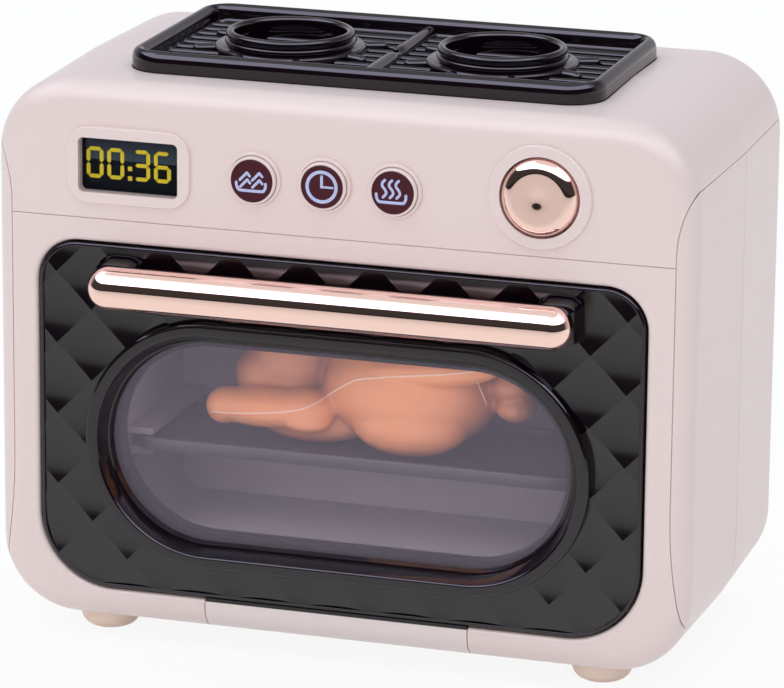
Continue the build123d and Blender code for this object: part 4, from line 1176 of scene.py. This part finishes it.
choose = add_node(tree, "MixShader", {
    "Fac": seen_white.outputs["Value"], 1: backdrop.outputs["Background"], 2: white.outputs["Background"],
})
tree.links.new(choose.outputs["Shader"], tree.nodes["World Output"].inputs["Surface"])
print("world nodes", len(tree.nodes))

# %% [markdown]
# One large soft panel in front lifts the face of the oven. Two small ones sit inside, behind the window, and
# stand for the light that a smoked sheet of real plastic would still let in.


# %% Lamps
def panel(name, place, size, power, aim):
    """A soft panel lamp that points at a place."""
    data = bpy.data.lights.new(name, "AREA")
    data.shape = "RECTANGLE"
    data.size, data.size_y = size
    data.energy = power
    lamp = bpy.data.objects.new(name, data)
    bpy.context.scene.collection.objects.link(lamp)
    lamp.location = place
    lamp.visible_camera = False
    lamp.rotation_euler = (Vector(aim) - Vector(place)).to_track_quat("-Z", "Y").to_euler()
    return lamp


front_panel = panel("front_panel", (-0.1, -1.25, 0.35), (0.9, 0.5), 2.5, (0, 0, 0.09))
front_panel.visible_glossy = False
panel("cavity_upper_panel", (-0.005, front_y + 11 * MM, 76 * MM), (0.125, 0.045), 0.04,
      (-0.005, front_y + 60 * MM, 70 * MM))
under_tray = panel("cavity_lower_panel", (0, front_y + 16 * MM, 50 * MM), (0.12, 0.006), 0.02,
                   (0, front_y + 45 * MM, 28 * MM))
under_tray.data.spread = math.radians(100)
print("lamps", len(bpy.data.lights))

# %% [markdown]
# The floor is pale paint that takes the oven's shadow. For the camera most of it glows white, so it melts
# into the white background, and for mirrored rays it glows less the further it lies in front.

# %% Floor
floor_finish, tree, paint = new_finish("pale_floor")
paint.inputs["Roughness"].default_value = 0.9
mottle = add_node(tree, "TexNoise", {"Scale": 6})
shades = add_node(tree, "MapRange", {"Value": mottle.outputs["Fac"], "To Min": 0.9, "To Max": 0.93})
tree.links.new(shades.outputs["Result"], paint.inputs["Base Color"])
ray = add_node(tree, "LightPath").outputs
mirrored_floor = ramp(tree, along_axis(tree, "Y"), -1.2, 0, [
    (-1.2, 0.02), (-1.04, 0.02), (-0.98, 0.6), (-0.75, 0.68), (-0.5, 0.78), (-0.2, 0.97), (0, 1.0),
])
strength = add_node(tree, "Mix", {"Factor": ray["Is Glossy Ray"], "A": 1.0, "B": mirrored_floor})
glow = add_node(tree, "Emission", {"Strength": strength.outputs["Result"]})
camera_share = 0.9
share = add_node(tree, "Math", {0: ray["Is Camera Ray"], 1: camera_share, 2: ray["Is Glossy Ray"]},
                 operation="MULTIPLY_ADD")
mix = add_node(tree, "MixShader", {
    "Fac": share.outputs["Value"], 1: paint.outputs["BSDF"], 2: glow.outputs["Emission"],
})
tree.links.new(mix.outputs["Shader"], tree.nodes["Material Output"].inputs["Surface"])
reach = 6.0
floor_mesh = bpy.data.meshes.new("floor")
floor_corners = [(x * reach, y * reach, 0) for x, y in ((-1, -1), (1, -1), (1, 1), (-1, 1))]
floor_mesh.from_pydata(floor_corners, [], [(0, 1, 2, 3)])
floor = bpy.data.objects.new("floor", floor_mesh)
bpy.context.scene.collection.objects.link(floor)
floor.data.materials.append(floor_finish)
bpy.context.scene.view_settings.view_transform = "Standard"
print("floor", 2 * reach, "m wide")
